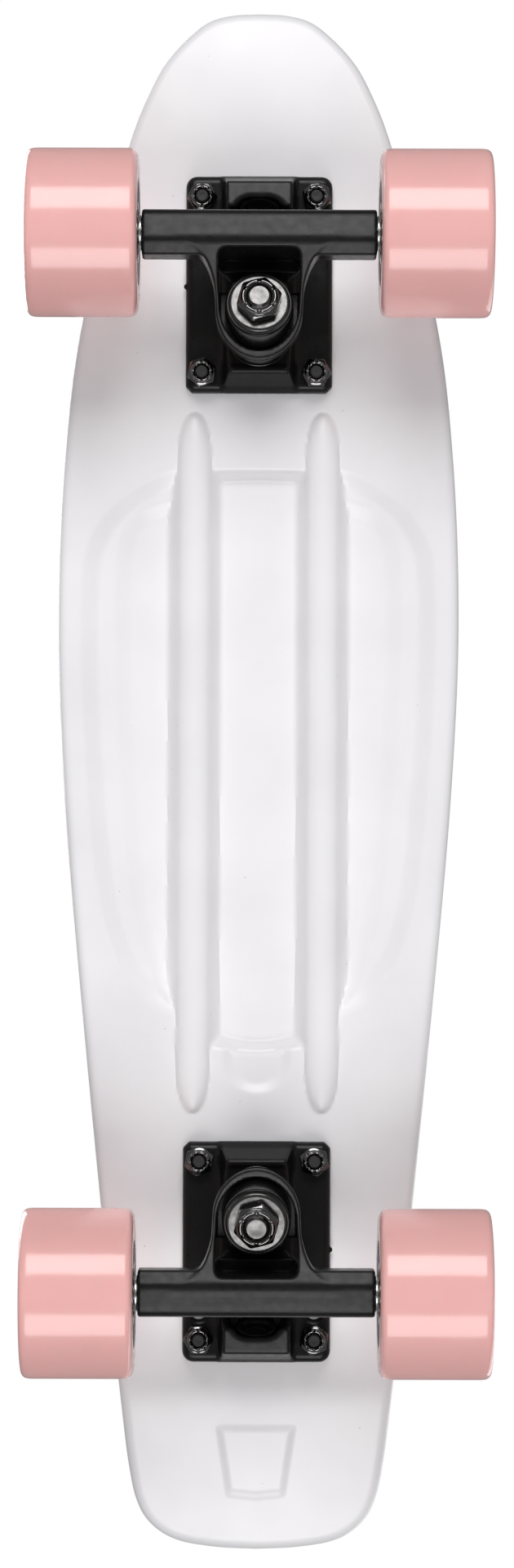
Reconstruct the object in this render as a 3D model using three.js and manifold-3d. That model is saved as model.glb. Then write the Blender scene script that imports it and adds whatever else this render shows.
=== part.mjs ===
// A 22-inch moulded plastic cruiser skateboard, standing on its four wheels.
//
// Millimetres. +X runs to the nose, +Y to the rider's left and +Z up. The origin is on the floor,
// under the middle of the deck. Each truck is built in its own frame, where u runs outboard along
// the board, v across it and w down, away from the deck; truckPoint() turns those into X, Y, Z.

import * as THREE from "three";
import { mergeVertices } from "three/addons/utils/BufferGeometryUtils.js";
import Module from "manifold-3d";

const wasm = await Module();
wasm.setup();

// ---------------------------------------------------------------- driving dimensions

const GAP = 0.2; // clearance between neighbouring pieces
const ROUND = 20; // sides of an ordinary round piece
const OVERSHOOT = 1; // how far a cutter runs past the face it cuts

const WHEEL_RADIUS = 29.5;
const WHEEL_WIDTH = 39.3;
const WHEEL_INNER_FACE = 42.4; // distance of a wheel's inner face from the board's middle
const WHEEL_SIDES = 32;

const AXLE_DROP = 46; // axle below the deck's underside
const DECK_UNDERSIDE = WHEEL_RADIUS + AXLE_DROP;
const DECK_THICKNESS = 11;
const DECK_HALF_LENGTH = 279.4;

const FRONT_TRUCK_X = 177;
const REAR_TRUCK_X = -169.8;

const BOLT_SPACING_U = 63.5;
const BOLT_SPACING_V = 41.28;
const BOLT_RADIUS = 2.4;
const BOLT_HOLE_RADIUS = 2.75;

// ---------------------------------------------------------------- geometry helpers

// Position-only copy with shared vertices merged, collapsed triangles dropped and faces outward.
function weld(geometry) {
  const bare = geometry.clone();
  bare.deleteAttribute("normal");
  bare.deleteAttribute("uv");
  bare.clearGroups();
  const merged = mergeVertices(bare, 1e-4);
  const index = merged.index.array;
  const kept = [];
  for (let i = 0; i < index.length; i += 3) {
    const [a, b, c] = [index[i], index[i + 1], index[i + 2]];
    if (a !== b && b !== c && c !== a) kept.push(a, b, c);
  }
  if (signedVolume(merged.attributes.position, kept) < 0) kept.reverse();
  merged.setIndex(kept);
  return merged;
}

function signedVolume(position, index) {
  const [a, b, c] = [new THREE.Vector3(), new THREE.Vector3(), new THREE.Vector3()];
  let six = 0;
  for (let i = 0; i < index.length; i += 3) {
    a.fromBufferAttribute(position, index[i]);
    b.fromBufferAttribute(position, index[i + 1]);
    c.fromBufferAttribute(position, index[i + 2]);
    six += a.dot(b.cross(c));
  }
  return six / 6;
}

function solid(geometry) {
  const welded = weld(geometry);
  return new wasm.Manifold(
    new wasm.Mesh({
      numProp: 3,
      vertProperties: new Float32Array(welded.attributes.position.array),
      triVerts: new Uint32Array(welded.index.array),
    }),
  );
}

function geometryOf(manifold) {
  const mesh = manifold.getMesh();
  const geometry = new THREE.BufferGeometry();
  geometry.setAttribute("position", new THREE.BufferAttribute(mesh.vertProperties, 3));
  geometry.setIndex(new THREE.BufferAttribute(mesh.triVerts, 1));
  return geometry;
}

// A body of revolution about +Z; profile is a list of [radius, height].
function turned(profile, sides = ROUND) {
  const points = profile.map(([radius, height]) => new THREE.Vector2(radius, height));
  return weld(new THREE.LatheGeometry(points, sides).rotateX(Math.PI / 2));
}

// The same, for a ring: the profile is closed back to its first point.
function turnedRing(profile, sides = ROUND) {
  return turned([...profile, profile[0]], sides);
}

function tube(inner, outer, low, high, sides = ROUND) {
  return turnedRing([[inner, low], [outer, low], [outer, high], [inner, high]], sides);
}

function rod(radius, low, high, sides = ROUND) {
  return turned([[0, low], [radius, low], [radius, high], [0, high]], sides);
}

// A prism along +Z from an outline of [x, y] points or a THREE.Shape.
function prism(outline, low, high) {
  const shape = Array.isArray(outline) ? polygon(outline) : outline;
  const options = { depth: high - low, bevelEnabled: false, curveSegments: 6 };
  return new THREE.ExtrudeGeometry(shape, options).translate(0, 0, low);
}

function polygon(points) {
  return new THREE.Shape(points.map(([x, y]) => new THREE.Vector2(x, y)));
}

function circlePath(x, y, radius) {
  return new THREE.Path().absarc(x, y, radius, 0, 2 * Math.PI, true);
}

function hexShape(acrossFlats, holeRadius) {
  const corner = acrossFlats / Math.sqrt(3);
  const points = [];
  for (let i = 0; i < 6; i++) {
    const angle = (i * Math.PI) / 3;
    points.push([corner * Math.cos(angle), corner * Math.sin(angle)]);
  }
  const shape = polygon(points);
  if (holeRadius) shape.holes.push(circlePath(0, 0, holeRadius));
  return shape;
}

// ---------------------------------------------------------------- materials

function material(color, roughness, metalness) {
  return new THREE.MeshStandardMaterial({ color, roughness, metalness });
}

const whitePlastic = material(0xf1eff1, 0.42, 0);
const blackCast = material(0x1d1c1c, 0.5, 0.4);
const blackSteel = material(0x141416, 0.22, 0.8);
const darkNickel = material(0x6e6c6c, 0.28, 1);
const blackRubber = material(0x17171a, 0.55, 0);
const blackNylon = material(0x202022, 0.45, 0);
const pinkUrethane = material(0xe9a3a6, 0.38, 0);
const zincSteel = material(0xc4c8c6, 0.25, 1);

// ---------------------------------------------------------------- assembly

const board = new THREE.Group();

function add(parent, name, geometry, finish) {
  const mesh = new THREE.Mesh(geometry, finish);
  mesh.name = name;
  parent.add(mesh);
  return mesh;
}

// ---------------------------------------------------------------- deck

const TAIL_KICK_START = -217;
const TAIL_KICK_BEND = 12; // length over which the underside bends into the kick
const TAIL_KICK_SLOPE = 0.24;
const NOSE_LIFT_START = 205;
const NOSE_LIFT = 7;

// Half of the deck's outline, from the tip of the nose to the end of the tail, as [x, half width].
const DECK_OUTLINE = [
  [DECK_HALF_LENGTH, 0],
  [278.9, 9.5],
  [276.4, 18.4],
  [269.3, 27.2],
  [259.6, 35.3],
  [247.4, 41.5],
  [233.2, 46.9],
  [163.7, 64.8],
  [115.7, 70.5],
  [56.3, 72.6],
  [-2.8, 70.2],
  [-97.1, 61.9],
  [-225.6, 48.5],
  [-248.8, 45.7],
  [-260.4, 43.3],
  [-267.2, 40.2],
  [-272.6, 35],
  [-276.2, 28.1],
  [-278.6, 15],
  [-DECK_HALF_LENGTH, 0],
];
const DECK_STATIONS = 46;

// Inset from the outline and height above the underside, from the underside's edge to the top's.
const DECK_EDGE = [
  [3.6, 0],
  [1.1, 1],
  [0, 3.6],
  [0, DECK_THICKNESS - 3],
  [0.9, DECK_THICKNESS - 0.9],
  [3, DECK_THICKNESS],
];

function undersideZ(x) {
  const past = TAIL_KICK_START - x;
  let lift = 0;
  if (past > TAIL_KICK_BEND) lift = TAIL_KICK_SLOPE * (past - TAIL_KICK_BEND / 2);
  else if (past > 0) lift = (TAIL_KICK_SLOPE * past * past) / (2 * TAIL_KICK_BEND);
  if (x > NOSE_LIFT_START) {
    const share = (x - NOSE_LIFT_START) / (DECK_HALF_LENGTH - NOSE_LIFT_START);
    lift = NOSE_LIFT * share * share;
  }
  return DECK_UNDERSIDE + lift;
}

// Closed loop round the deck at one inset: down the left side from the nose, back up the right.
function deckLoop(inset, height) {
  const curve = new THREE.SplineCurve(DECK_OUTLINE.map(([x, y]) => new THREE.Vector2(x, y)));
  const left = [];
  for (let i = 0; i <= DECK_STATIONS; i++) {
    const t = i / DECK_STATIONS;
    const point = curve.getPointAt(t);
    const tangent = curve.getTangentAt(t);
    const onAxis = i === 0 || i === DECK_STATIONS;
    const inward = new THREE.Vector2(tangent.y, -tangent.x);
    if (onAxis) inward.set(-Math.sign(point.x), 0);
    else if (inward.y > 0) inward.negate();
    point.addScaledVector(inward, inset);
    left.push([point.x, onAxis ? 0 : point.y, undersideZ(point.x) + height]);
  }
  const right = left.slice(1, -1).reverse().map(([x, y, z]) => [x, -y, z]);
  return [...left, ...right];
}

function deckBlank() {
  const loops = DECK_EDGE.map(([inset, height]) => deckLoop(inset, height));
  const count = loops[0].length;
  const index = [];
  for (let k = 0; k + 1 < loops.length; k++) {
    for (let i = 0; i < count; i++) {
      const [a, b] = [k * count + i, k * count + ((i + 1) % count)];
      index.push(a, b, b + count, a, b + count, a + count);
    }
  }
  const top = (loops.length - 1) * count;
  for (let i = 0; i < DECK_STATIONS; i++) {
    const [a, b] = [i, i + 1];
    const [c, d] = [(count - i) % count, (count - i - 1) % count];
    index.push(a, c, b, c, d, b);
    index.push(top + a, top + b, top + c, top + c, top + b, top + d);
  }
  const geometry = new THREE.BufferGeometry();
  geometry.setAttribute("position", new THREE.Float32BufferAttribute(loops.flat(2), 3));
  geometry.setIndex(index);
  return solid(geometry);
}

// The shield-shaped panel sunk into the underside, as [x, half width] from front to back.
const PANEL_OUTER = [
  [109.5, 0],
  [109.3, 28],
  [101.5, 44.5],
  [89, 56],
  [75, 60.5],
  [40, 61],
  [0, 58.8],
  [-32, 55.5],
  [-64, 48],
  [-80, 38],
  [-86, 30],
  [-97, 23],
  [-97.5, 0],
];
const PANEL_INNER = [
  [108.6, 0],
  [108.4, 23],
  [98, 31],
  [90, 42],
  [76, 48],
  [40, 49],
  [0, 46.5],
  [-32, 43],
  [-64, 36],
  [-80, 29],
  [-95.5, 22],
  [-96.5, 0],
];
const PANEL_OUTER_DEPTH = 2;
const PANEL_INNER_DEPTH = 1.4;

function mirroredPrism(half, low, high) {
  const outline = [...half, ...half.slice(1, -1).reverse().map(([x, y]) => [x, -y])];
  return solid(prism(outline, low, high));
}

const RIB_OFFSET = 23.2;
const RIB_FRONT = 131.2;
const RIB_REAR = -121;
const RIB_ROOT_HALF_WIDTH = 6.6;
const RIB_CREST_HALF_WIDTH = 3.2;
const RIB_TIP_HALF_WIDTH = 1.8;
const RIB_TAPER = 34; // length of the bullet-shaped taper at each end
const RIB_CREST_DROP = 2.6; // how far the crest stands below the underside

// One rib: a ridge with sloped sides, its crest narrower and shorter than its root.
function rib(side) {
  const high = DECK_UNDERSIDE + PANEL_OUTER_DEPTH + PANEL_INNER_DEPTH + GAP;
  const crestShare = RIB_CREST_HALF_WIDTH / RIB_ROOT_HALF_WIDTH;
  const root = ribLoop(RIB_ROOT_HALF_WIDTH, 0, high);
  const crest = ribLoop(RIB_ROOT_HALF_WIDTH * crestShare, 4, DECK_UNDERSIDE - RIB_CREST_DROP);
  const count = root.length;
  const index = [];
  for (let i = 0; i < count; i++) {
    const j = (i + 1) % count;
    index.push(i, j, count + j, i, count + j, count + i);
  }
  for (let i = 1; i + 1 < count; i++) {
    index.push(0, i + 1, i, count, count + i, count + i + 1);
  }
  const geometry = new THREE.BufferGeometry();
  geometry.setAttribute("position", new THREE.Float32BufferAttribute([...root, ...crest].flat(), 3));
  geometry.setIndex(index);
  geometry.translate(0, side * RIB_OFFSET, 0);
  return solid(geometry);
}

function ribLoop(halfWidth, shortening, z) {
  const tip = (RIB_TIP_HALF_WIDTH * halfWidth) / RIB_ROOT_HALF_WIDTH;
  const [front, rear] = [RIB_FRONT - shortening, RIB_REAR + shortening];
  const taper = RIB_TAPER - shortening;
  const left = [
    [front, tip],
    [front - taper * 0.3, halfWidth * 0.72],
    [front - taper, halfWidth],
    [rear + taper, halfWidth],
    [rear + taper * 0.3, halfWidth * 0.72],
    [rear, tip],
  ];
  const right = [...left].reverse().map(([x, y]) => [x, -y]);
  return [...left, ...right].map(([x, y]) => [x, y, z]);
}

// Bolt positions of one truck in the board's frame.
function boltPoints(truck) {
  const points = [];
  for (const u of [-1, 1]) {
    for (const v of [-1, 1]) {
      points.push(truckPoint(truck, (u * BOLT_SPACING_U) / 2, (v * BOLT_SPACING_V) / 2, 0));
    }
  }
  return points;
}

const COUNTERSINK_RADIUS = 5.1;
const COUNTERSINK_DEPTH = 2.9;

function boltHole(point) {
  const top = DECK_UNDERSIDE + DECK_THICKNESS;
  const low = DECK_UNDERSIDE - OVERSHOOT;
  const profile = [
    [0, low],
    [BOLT_HOLE_RADIUS, low],
    [BOLT_HOLE_RADIUS, top - COUNTERSINK_DEPTH],
    [COUNTERSINK_RADIUS, top],
    [COUNTERSINK_RADIUS, top + OVERSHOOT],
    [0, top + OVERSHOOT],
  ];
  return solid(turned(profile, 12).translate(point.x, point.y, 0));
}

function deckGeometry(trucks) {
  const low = DECK_UNDERSIDE - OVERSHOOT;
  let deck = deckBlank();
  deck = deck.subtract(mirroredPrism(PANEL_OUTER, low, DECK_UNDERSIDE + PANEL_OUTER_DEPTH));
  const floor = DECK_UNDERSIDE + PANEL_OUTER_DEPTH + PANEL_INNER_DEPTH;
  deck = deck.subtract(mirroredPrism(PANEL_INNER, low, floor));
  deck = deck.add(rib(1)).add(rib(-1));
  for (const truck of trucks) {
    for (const point of boltPoints(truck)) deck = deck.subtract(boltHole(point));
  }
  return geometryOf(deck);
}

// ---------------------------------------------------------------- truck frame

const KINGPIN_TILT = THREE.MathUtils.degToRad(12); // the nut end leans outboard
const KINGPIN_FOOT_U = -21.4; // where its axis meets the deck's underside

// Distances along the kingpin from the deck's underside.
const PLATFORM_AT = 10.5;
const RING_LOW_AT = 24;
const RING_HIGH_AT = 29.5;
const CUP_WASHER_AT = 43.6;
const KINGPIN_NUT_AT = 45;
const KINGPIN_NUT_HEIGHT = 6.5;
const KINGPIN_END_AT = 51.8;

const AXLE_U = 12;

// The steering axis runs from the middle of the hanger's ring to the pivot cup.
const RING_MIDDLE_AT = (RING_LOW_AT + RING_HIGH_AT) / 2;
const STEER_RING = [
  KINGPIN_FOOT_U + RING_MIDDLE_AT * Math.sin(KINGPIN_TILT),
  RING_MIDDLE_AT * Math.cos(KINGPIN_TILT),
];
const STEER_CUP = [24.5, 11.2]; // centre of the pivot cup's mouth
const STEER_ANGLE = Math.atan2(STEER_RING[1] - STEER_CUP[1], STEER_CUP[0] - STEER_RING[0]);

function truckPoint(truck, u, v, w) {
  return new THREE.Vector3(truck.x + truck.outboard * u, truck.outboard * v, DECK_UNDERSIDE - w);
}

// A group whose local x, y, z are u, v and -w of this truck.
function truckGroup(truck) {
  const group = new THREE.Group();
  group.position.set(truck.x, 0, DECK_UNDERSIDE);
  group.rotation.z = truck.outboard > 0 ? 0 : Math.PI;
  board.add(group);
  return group;
}

// Local +Z of this geometry is laid along the kingpin, away from the deck, from its foot.
function alongKingpin(geometry) {
  return geometry.rotateX(Math.PI).rotateY(-KINGPIN_TILT).translate(KINGPIN_FOOT_U, 0, 0);
}

// Local +Z of this geometry is laid along the steering axis, outboard from the cup's mouth.
function alongSteering(geometry) {
  const down = Math.PI / 2 - STEER_ANGLE;
  return geometry.rotateY(down).translate(STEER_CUP[0], 0, -STEER_CUP[1]);
}

// A prism across the board, its outline given as [u, w] points.
function acrossTruck(outline, halfWidth) {
  const points = outline.map(([u, w]) => [u, -w]);
  return prism(points, -halfWidth, halfWidth).rotateX(Math.PI / 2);
}

// ---------------------------------------------------------------- base plate

const PLATE_HALF_LENGTH = 38.5;
const PLATE_HALF_WIDTH = 26.5;
const PLATE_THICKNESS = 5;
const PLATE_CHAMFER = 2.2;
const PLATE_CORNER = 4;
const SPARE_HOLE_U = 22.2;
const SPINE_HALF_WIDTH = 12.2;
const CUP_SOCKET_RADIUS = 7.4;
const CUP_SOCKET_DEPTH = 8.5;
const HEAD_POCKET_TO = 7; // depth, along the kingpin, of the pocket for its head

function plateShape() {
  const [length, width] = [PLATE_HALF_LENGTH, PLATE_HALF_WIDTH];
  const shape = new THREE.Shape();
  shape.moveTo(-length, -width + PLATE_CHAMFER);
  shape.lineTo(-length + PLATE_CHAMFER, -width);
  shape.lineTo(length - PLATE_CORNER, -width);
  shape.absarc(length - PLATE_CORNER, -width + PLATE_CORNER, PLATE_CORNER, -Math.PI / 2, 0, false);
  shape.absarc(length - PLATE_CORNER, width - PLATE_CORNER, PLATE_CORNER, 0, Math.PI / 2, false);
  shape.lineTo(-length + PLATE_CHAMFER, width);
  shape.lineTo(-length, width - PLATE_CHAMFER);
  for (const v of [-BOLT_SPACING_V / 2, BOLT_SPACING_V / 2]) {
    for (const u of [-BOLT_SPACING_U / 2, SPARE_HOLE_U, BOLT_SPACING_U / 2]) {
      shape.holes.push(circlePath(u, v, BOLT_HOLE_RADIUS));
    }
  }
  return shape;
}

// Side view of the raised spine: kingpin platform inboard, pivot housing outboard.
const SPINE_PROFILE = [
  [-38, 4],
  [-32, 13.2],
  [-8, 8.1],
  [-4, 6.8],
  [17, 6.8],
  [21.5, 4.2],
  [27.2, 18.9],
  [30.6, 17.6],
  [37.8, 4],
];

function basePlateGeometry() {
  let plate = solid(prism(plateShape(), -PLATE_THICKNESS, -GAP));
  plate = plate.add(solid(acrossTruck(SPINE_PROFILE, SPINE_HALF_WIDTH)));
  const socket = rod(CUP_SOCKET_RADIUS, -12, CUP_SOCKET_DEPTH);
  plate = plate.subtract(solid(alongSteering(socket)));
  plate = plate.subtract(solid(alongKingpin(rod(9.2, -6, HEAD_POCKET_TO))));
  plate = plate.subtract(solid(alongKingpin(rod(5.1, -6, 25))));
  return geometryOf(plate);
}

// ---------------------------------------------------------------- pivot cup

function pivotCupGeometry() {
  const [outer, bore] = [CUP_SOCKET_RADIUS - GAP, PIVOT_RADIUS + 0.35];
  const profile = [
    [0, CUP_SOCKET_DEPTH - GAP],
    [outer, CUP_SOCKET_DEPTH - GAP],
    [outer, 0],
    [bore, 0],
    [bore, 5.5],
    [0, 6.4],
  ];
  return alongSteering(turned(profile));
}

// ---------------------------------------------------------------- kingpin, nut, washer, bushings

const KINGPIN_RADIUS = 4.75;
const BUSHING_BORE = 5.2;

function kingpinGeometry() {
  const head = solid(prism(hexShape(14.3), 2.4, HEAD_POCKET_TO - GAP));
  const shank = solid(rod(KINGPIN_RADIUS, 4, KINGPIN_END_AT));
  return alongKingpin(geometryOf(head.add(shank)));
}

function kingpinNutGeometry() {
  const nut = prism(hexShape(14.3, BUSHING_BORE), KINGPIN_NUT_AT, KINGPIN_NUT_AT + KINGPIN_NUT_HEIGHT);
  return alongKingpin(nut);
}

function cupWasherGeometry() {
  return alongKingpin(tube(BUSHING_BORE, 11, CUP_WASHER_AT, KINGPIN_NUT_AT - GAP));
}

function lowerBushingGeometry() {
  const [low, high] = [PLATFORM_AT + 1.2, RING_LOW_AT - GAP];
  const middle = (low + high) / 2;
  const profile = [
    [BUSHING_BORE, low],
    [11.4, low],
    [12.4, middle],
    [11.4, high],
    [BUSHING_BORE, high],
  ];
  return alongKingpin(turnedRing(profile));
}

function upperBushingGeometry() {
  const [low, high] = [RING_HIGH_AT + GAP, CUP_WASHER_AT - GAP];
  const profile = [
    [BUSHING_BORE, low],
    [12.3, low],
    [12.3, low + 7],
    [10.9, high],
    [BUSHING_BORE, high],
  ];
  return alongKingpin(turnedRing(profile));
}

// ---------------------------------------------------------------- hanger

const HANGER_HALF_LENGTH = 41.25;
const AXLE_RADIUS = 4;
const AXLE_BORE = AXLE_RADIUS + 0.3;
const PIVOT_RADIUS = 4.6;
const RING_OUTER = 15.2;
const RING_INNER = 13.3;
const RING_HOLE = 7.5;
const WINDOW_HALF_WIDTH = 14.8;
const WINDOW_EDGE_U = 4.2; // where the window meets the beam
const FLARE_HALF_WIDTH = 25; // where the yoke's outer fillets meet the beam
const ARM_HALF_WIDTH = 16.4;

const BEAM_PROFILE = [
  [4, 39.5],
  [4, 51.7],
  [8.4, 54],
  [17.1, 54],
  [19.2, 53],
  [20, 51],
  [20, 39.5],
  [18, 37.5],
  [6, 37.5],
];

// The web that joins beam, ring floor and pivot stem, in side view.
const WEB_PROFILE = [
  [-4, 21.5],
  [-1, 27],
  [4.2, 44],
  [18, 42],
  [18, 26],
  [16.2, 18],
  [10, 13],
  [4, 15.5],
];
const WEB_HALF_WIDTH = 11;

// Plan of the yoke seen along the kingpin: a round nose and two arms that flare into the beam.
// x is measured from the kingpin, towards the beam.
function yokeShape() {
  const beamAt = WINDOW_EDGE_U + 6 - STEER_RING[0];
  const flareFrom = 6;
  const flareTo = beamAt - 6;
  const shape = new THREE.Shape();
  shape.absellipse(0, 0, RING_OUTER, ARM_HALF_WIDTH, Math.PI / 2, (3 * Math.PI) / 2, false, 0);
  shape.lineTo(flareFrom, -ARM_HALF_WIDTH);
  shape.quadraticCurveTo(flareTo - 1, -ARM_HALF_WIDTH - 1, flareTo, -FLARE_HALF_WIDTH);
  shape.lineTo(beamAt, -FLARE_HALF_WIDTH);
  shape.lineTo(beamAt, FLARE_HALF_WIDTH);
  shape.lineTo(flareTo, FLARE_HALF_WIDTH);
  shape.quadraticCurveTo(flareTo - 1, ARM_HALF_WIDTH + 1, flareFrom, ARM_HALF_WIDTH);
  return shape;
}

function windowShape() {
  const beamAt = WINDOW_EDGE_U - STEER_RING[0];
  const shape = new THREE.Shape();
  shape.absellipse(0, 0, RING_INNER, WINDOW_HALF_WIDTH, Math.PI / 2, (3 * Math.PI) / 2, false, 0);
  shape.lineTo(beamAt, -WINDOW_HALF_WIDTH);
  shape.lineTo(beamAt, WINDOW_HALF_WIDTH);
  return shape;
}

// Everything on the far side of the yoke's sloping top, from the ring's rim up to the beam.
function aboveYoke() {
  const outline = [
    [-40, 29.4],
    [-31, 34],
    [8, 53.8],
    [30, 53.8],
    [30, 90],
    [-40, 90],
  ];
  return solid(acrossTruck(outline, 60));
}

// The outboard side of the yoke prism, trimmed so that it ends inside the beam.
function outboardOfBeam() {
  const outline = [
    [8, 10],
    [12, 90],
    [60, 90],
    [60, 10],
  ];
  return solid(acrossTruck(outline, 60));
}

// The underside of the arms: they thin towards the beam instead of reaching the ring's floor.
function underArms() {
  const outline = [
    [-12, 20],
    [-8, 26],
    [4, 36],
    [30, 36],
    [30, 5],
    [-12, 5],
  ];
  const side = solid(acrossTruck(outline, 60));
  return side.subtract(solid(acrossTruck(outline, WEB_HALF_WIDTH)));
}

function hangerGeometry() {
  let yoke = solid(alongKingpin(prism(yokeShape(), RING_LOW_AT, 70)));
  yoke = yoke.subtract(aboveYoke()).subtract(outboardOfBeam()).subtract(underArms());
  let hanger = yoke.add(solid(acrossTruck(BEAM_PROFILE, HANGER_HALF_LENGTH)));
  hanger = hanger.add(solid(acrossTruck(WEB_PROFILE, WEB_HALF_WIDTH)));
  hanger = hanger.subtract(solid(alongKingpin(prism(windowShape(), RING_HIGH_AT, 80))));
  hanger = hanger.subtract(solid(alongKingpin(rod(RING_HOLE, 10, 60))));
  hanger = hanger.add(solid(alongSteering(rod(PIVOT_RADIUS, -12, 5.2))));
  const bore = rod(AXLE_BORE, -90, 90).rotateX(Math.PI / 2).translate(AXLE_U, 0, -AXLE_DROP);
  return geometryOf(hanger.subtract(solid(bore)));
}

// ---------------------------------------------------------------- axle and wheels

const AXLE_HALF_LENGTH = 76.2;
const BEARING_WIDTH = 7;
const BEARING_RADIUS = 11;
const SPACER_LENGTH = 10;
const CORE_RADIUS = 19;
const AXLE_NUT_HEIGHT = 7.6;

// Distances from a wheel's inner face, along its axle.
const INNER_BEARING_AT = 0.2;
const OUTER_BEARING_AT = INNER_BEARING_AT + BEARING_WIDTH + SPACER_LENGTH;
const AXLE_NUT_AT = OUTER_BEARING_AT + BEARING_WIDTH + 1.2;

function axleGeometry() {
  return rod(AXLE_RADIUS, -AXLE_HALF_LENGTH, AXLE_HALF_LENGTH).rotateX(Math.PI / 2);
}

// The tyre's sides touch the true circle, so that it stands on a flat.
function tyreGeometry() {
  const grow = 1 / Math.cos(Math.PI / WHEEL_SIDES);
  const [tread, width, bond] = [WHEEL_RADIUS * grow, WHEEL_WIDTH, CORE_RADIUS + GAP];
  const lip = 2.2;
  const profile = [
    [bond, 0],
    [tread - lip, 0],
    [tread - lip * 0.3, lip * 0.3],
    [tread, lip],
    [tread, width - lip],
    [tread - lip * 0.3, width - lip * 0.3],
    [tread - lip, width],
    [bond + 3, width],
    [bond, width - 9],
  ];
  return turnedRing(profile, WHEEL_SIDES).rotateZ(Math.PI / WHEEL_SIDES);
}

function coreGeometry() {
  const seat = BEARING_RADIUS + GAP;
  const outerEnd = OUTER_BEARING_AT + BEARING_WIDTH + 0.4;
  const profile = [
    [seat, 0.1],
    [CORE_RADIUS, 0.1],
    [CORE_RADIUS, 29],
    [CORE_RADIUS - 2.5, 29],
    [CORE_RADIUS - 3.5, outerEnd],
    [seat, outerEnd],
    [seat, OUTER_BEARING_AT - GAP],
    [9.2, OUTER_BEARING_AT - GAP],
    [9.2, INNER_BEARING_AT + BEARING_WIDTH + GAP],
    [seat, INNER_BEARING_AT + BEARING_WIDTH + GAP],
  ];
  return turnedRing(profile);
}

function bearingGeometry(at) {
  return tube(AXLE_BORE, BEARING_RADIUS, at, at + BEARING_WIDTH);
}

// A group whose local z runs outwards along the axle from one wheel's inner face.
function wheelGroup(truck, side) {
  const group = new THREE.Group();
  const place = truckPoint(truck, AXLE_U, 0, AXLE_DROP);
  group.position.set(place.x, side * WHEEL_INNER_FACE, place.z);
  group.rotation.x = (-side * Math.PI) / 2;
  board.add(group);
  return group;
}

function addWheel(truck, side) {
  const name = `${truck.name}_${side > 0 ? "left" : "right"}`;
  const group = wheelGroup(truck, side);
  add(group, `${name}_tyre`, tyreGeometry(), pinkUrethane);
  add(group, `${name}_wheel_core`, coreGeometry(), blackNylon);
  add(group, `${name}_inner_bearing`, bearingGeometry(INNER_BEARING_AT), zincSteel);
  add(group, `${name}_outer_bearing`, bearingGeometry(OUTER_BEARING_AT), zincSteel);
  add(group, `${name}_speed_washer`, tube(AXLE_BORE, 6.3, -0.9, 0), zincSteel);
  const nut = prism(hexShape(12.7, AXLE_BORE), AXLE_NUT_AT, AXLE_NUT_AT + AXLE_NUT_HEIGHT);
  add(group, `${name}_axle_nut`, nut, zincSteel);
}

// ---------------------------------------------------------------- mounting bolts and nuts

const BOLT_LENGTH = 22.2;
const BOLT_HEAD_RADIUS = 4.7;
const BOLT_HEAD_HEIGHT = 2.5;
const CORNER_NUT_FLATS = 9.5;
const CORNER_NUT_HEIGHT = 6;
const BOLT_SIDES = 12;

// Flush with the deck's top, its tip a little past the nut.
function boltGeometry() {
  const top = DECK_THICKNESS - GAP;
  const profile = [
    [0, top - BOLT_LENGTH],
    [BOLT_RADIUS, top - BOLT_LENGTH],
    [BOLT_RADIUS, top - BOLT_HEAD_HEIGHT],
    [BOLT_HEAD_RADIUS, top],
    [0, top],
  ];
  return turned(profile, BOLT_SIDES);
}

function addFasteners(truck) {
  const corners = ["inboard_right", "inboard_left", "outboard_right", "outboard_left"];
  const nut = prism(hexShape(CORNER_NUT_FLATS, BOLT_HOLE_RADIUS), -CORNER_NUT_HEIGHT, 0);
  boltPoints(truck).forEach((point, i) => {
    const bolt = add(board, `${truck.name}_${corners[i]}_bolt`, boltGeometry(), blackSteel);
    bolt.position.copy(point);
    const name = `${truck.name}_${corners[i]}_bolt_nut`;
    const placed = add(board, name, nut.clone(), blackSteel);
    placed.position.set(point.x, point.y, DECK_UNDERSIDE - PLATE_THICKNESS - GAP);
  });
}

// ---------------------------------------------------------------- trucks

function addTruck(truck) {
  const group = truckGroup(truck);
  const name = truck.name;
  add(group, `${name}_base_plate`, basePlateGeometry(), blackCast);
  add(group, `${name}_pivot_cup`, pivotCupGeometry(), blackNylon);
  add(group, `${name}_kingpin`, kingpinGeometry(), darkNickel);
  add(group, `${name}_kingpin_nut`, kingpinNutGeometry(), blackSteel);
  add(group, `${name}_cup_washer`, cupWasherGeometry(), darkNickel);
  add(group, `${name}_lower_bushing`, lowerBushingGeometry(), blackRubber);
  add(group, `${name}_upper_bushing`, upperBushingGeometry(), blackRubber);
  add(group, `${name}_hanger`, hangerGeometry(), blackCast);
  const axle = add(group, `${name}_axle`, axleGeometry(), zincSteel);
  axle.position.set(AXLE_U, 0, -AXLE_DROP);
  addFasteners(truck);
  for (const side of [1, -1]) addWheel(truck, side);
}

const trucks = [
  { name: "front", x: FRONT_TRUCK_X, outboard: 1 },
  { name: "rear", x: REAR_TRUCK_X, outboard: -1 },
];

add(board, "deck", deckGeometry(trucks), whitePlastic);
for (const truck of trucks) addTruck(truck);

export default board;
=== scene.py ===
"""Looks of a small moulded plastic cruiser skateboard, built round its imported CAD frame.

Shapes are worked out in millimetres and written to Blender in metres. Each truck has its own
axes: u runs outboard along the board, v across it and w down, away from the deck.
"""

import math

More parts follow.
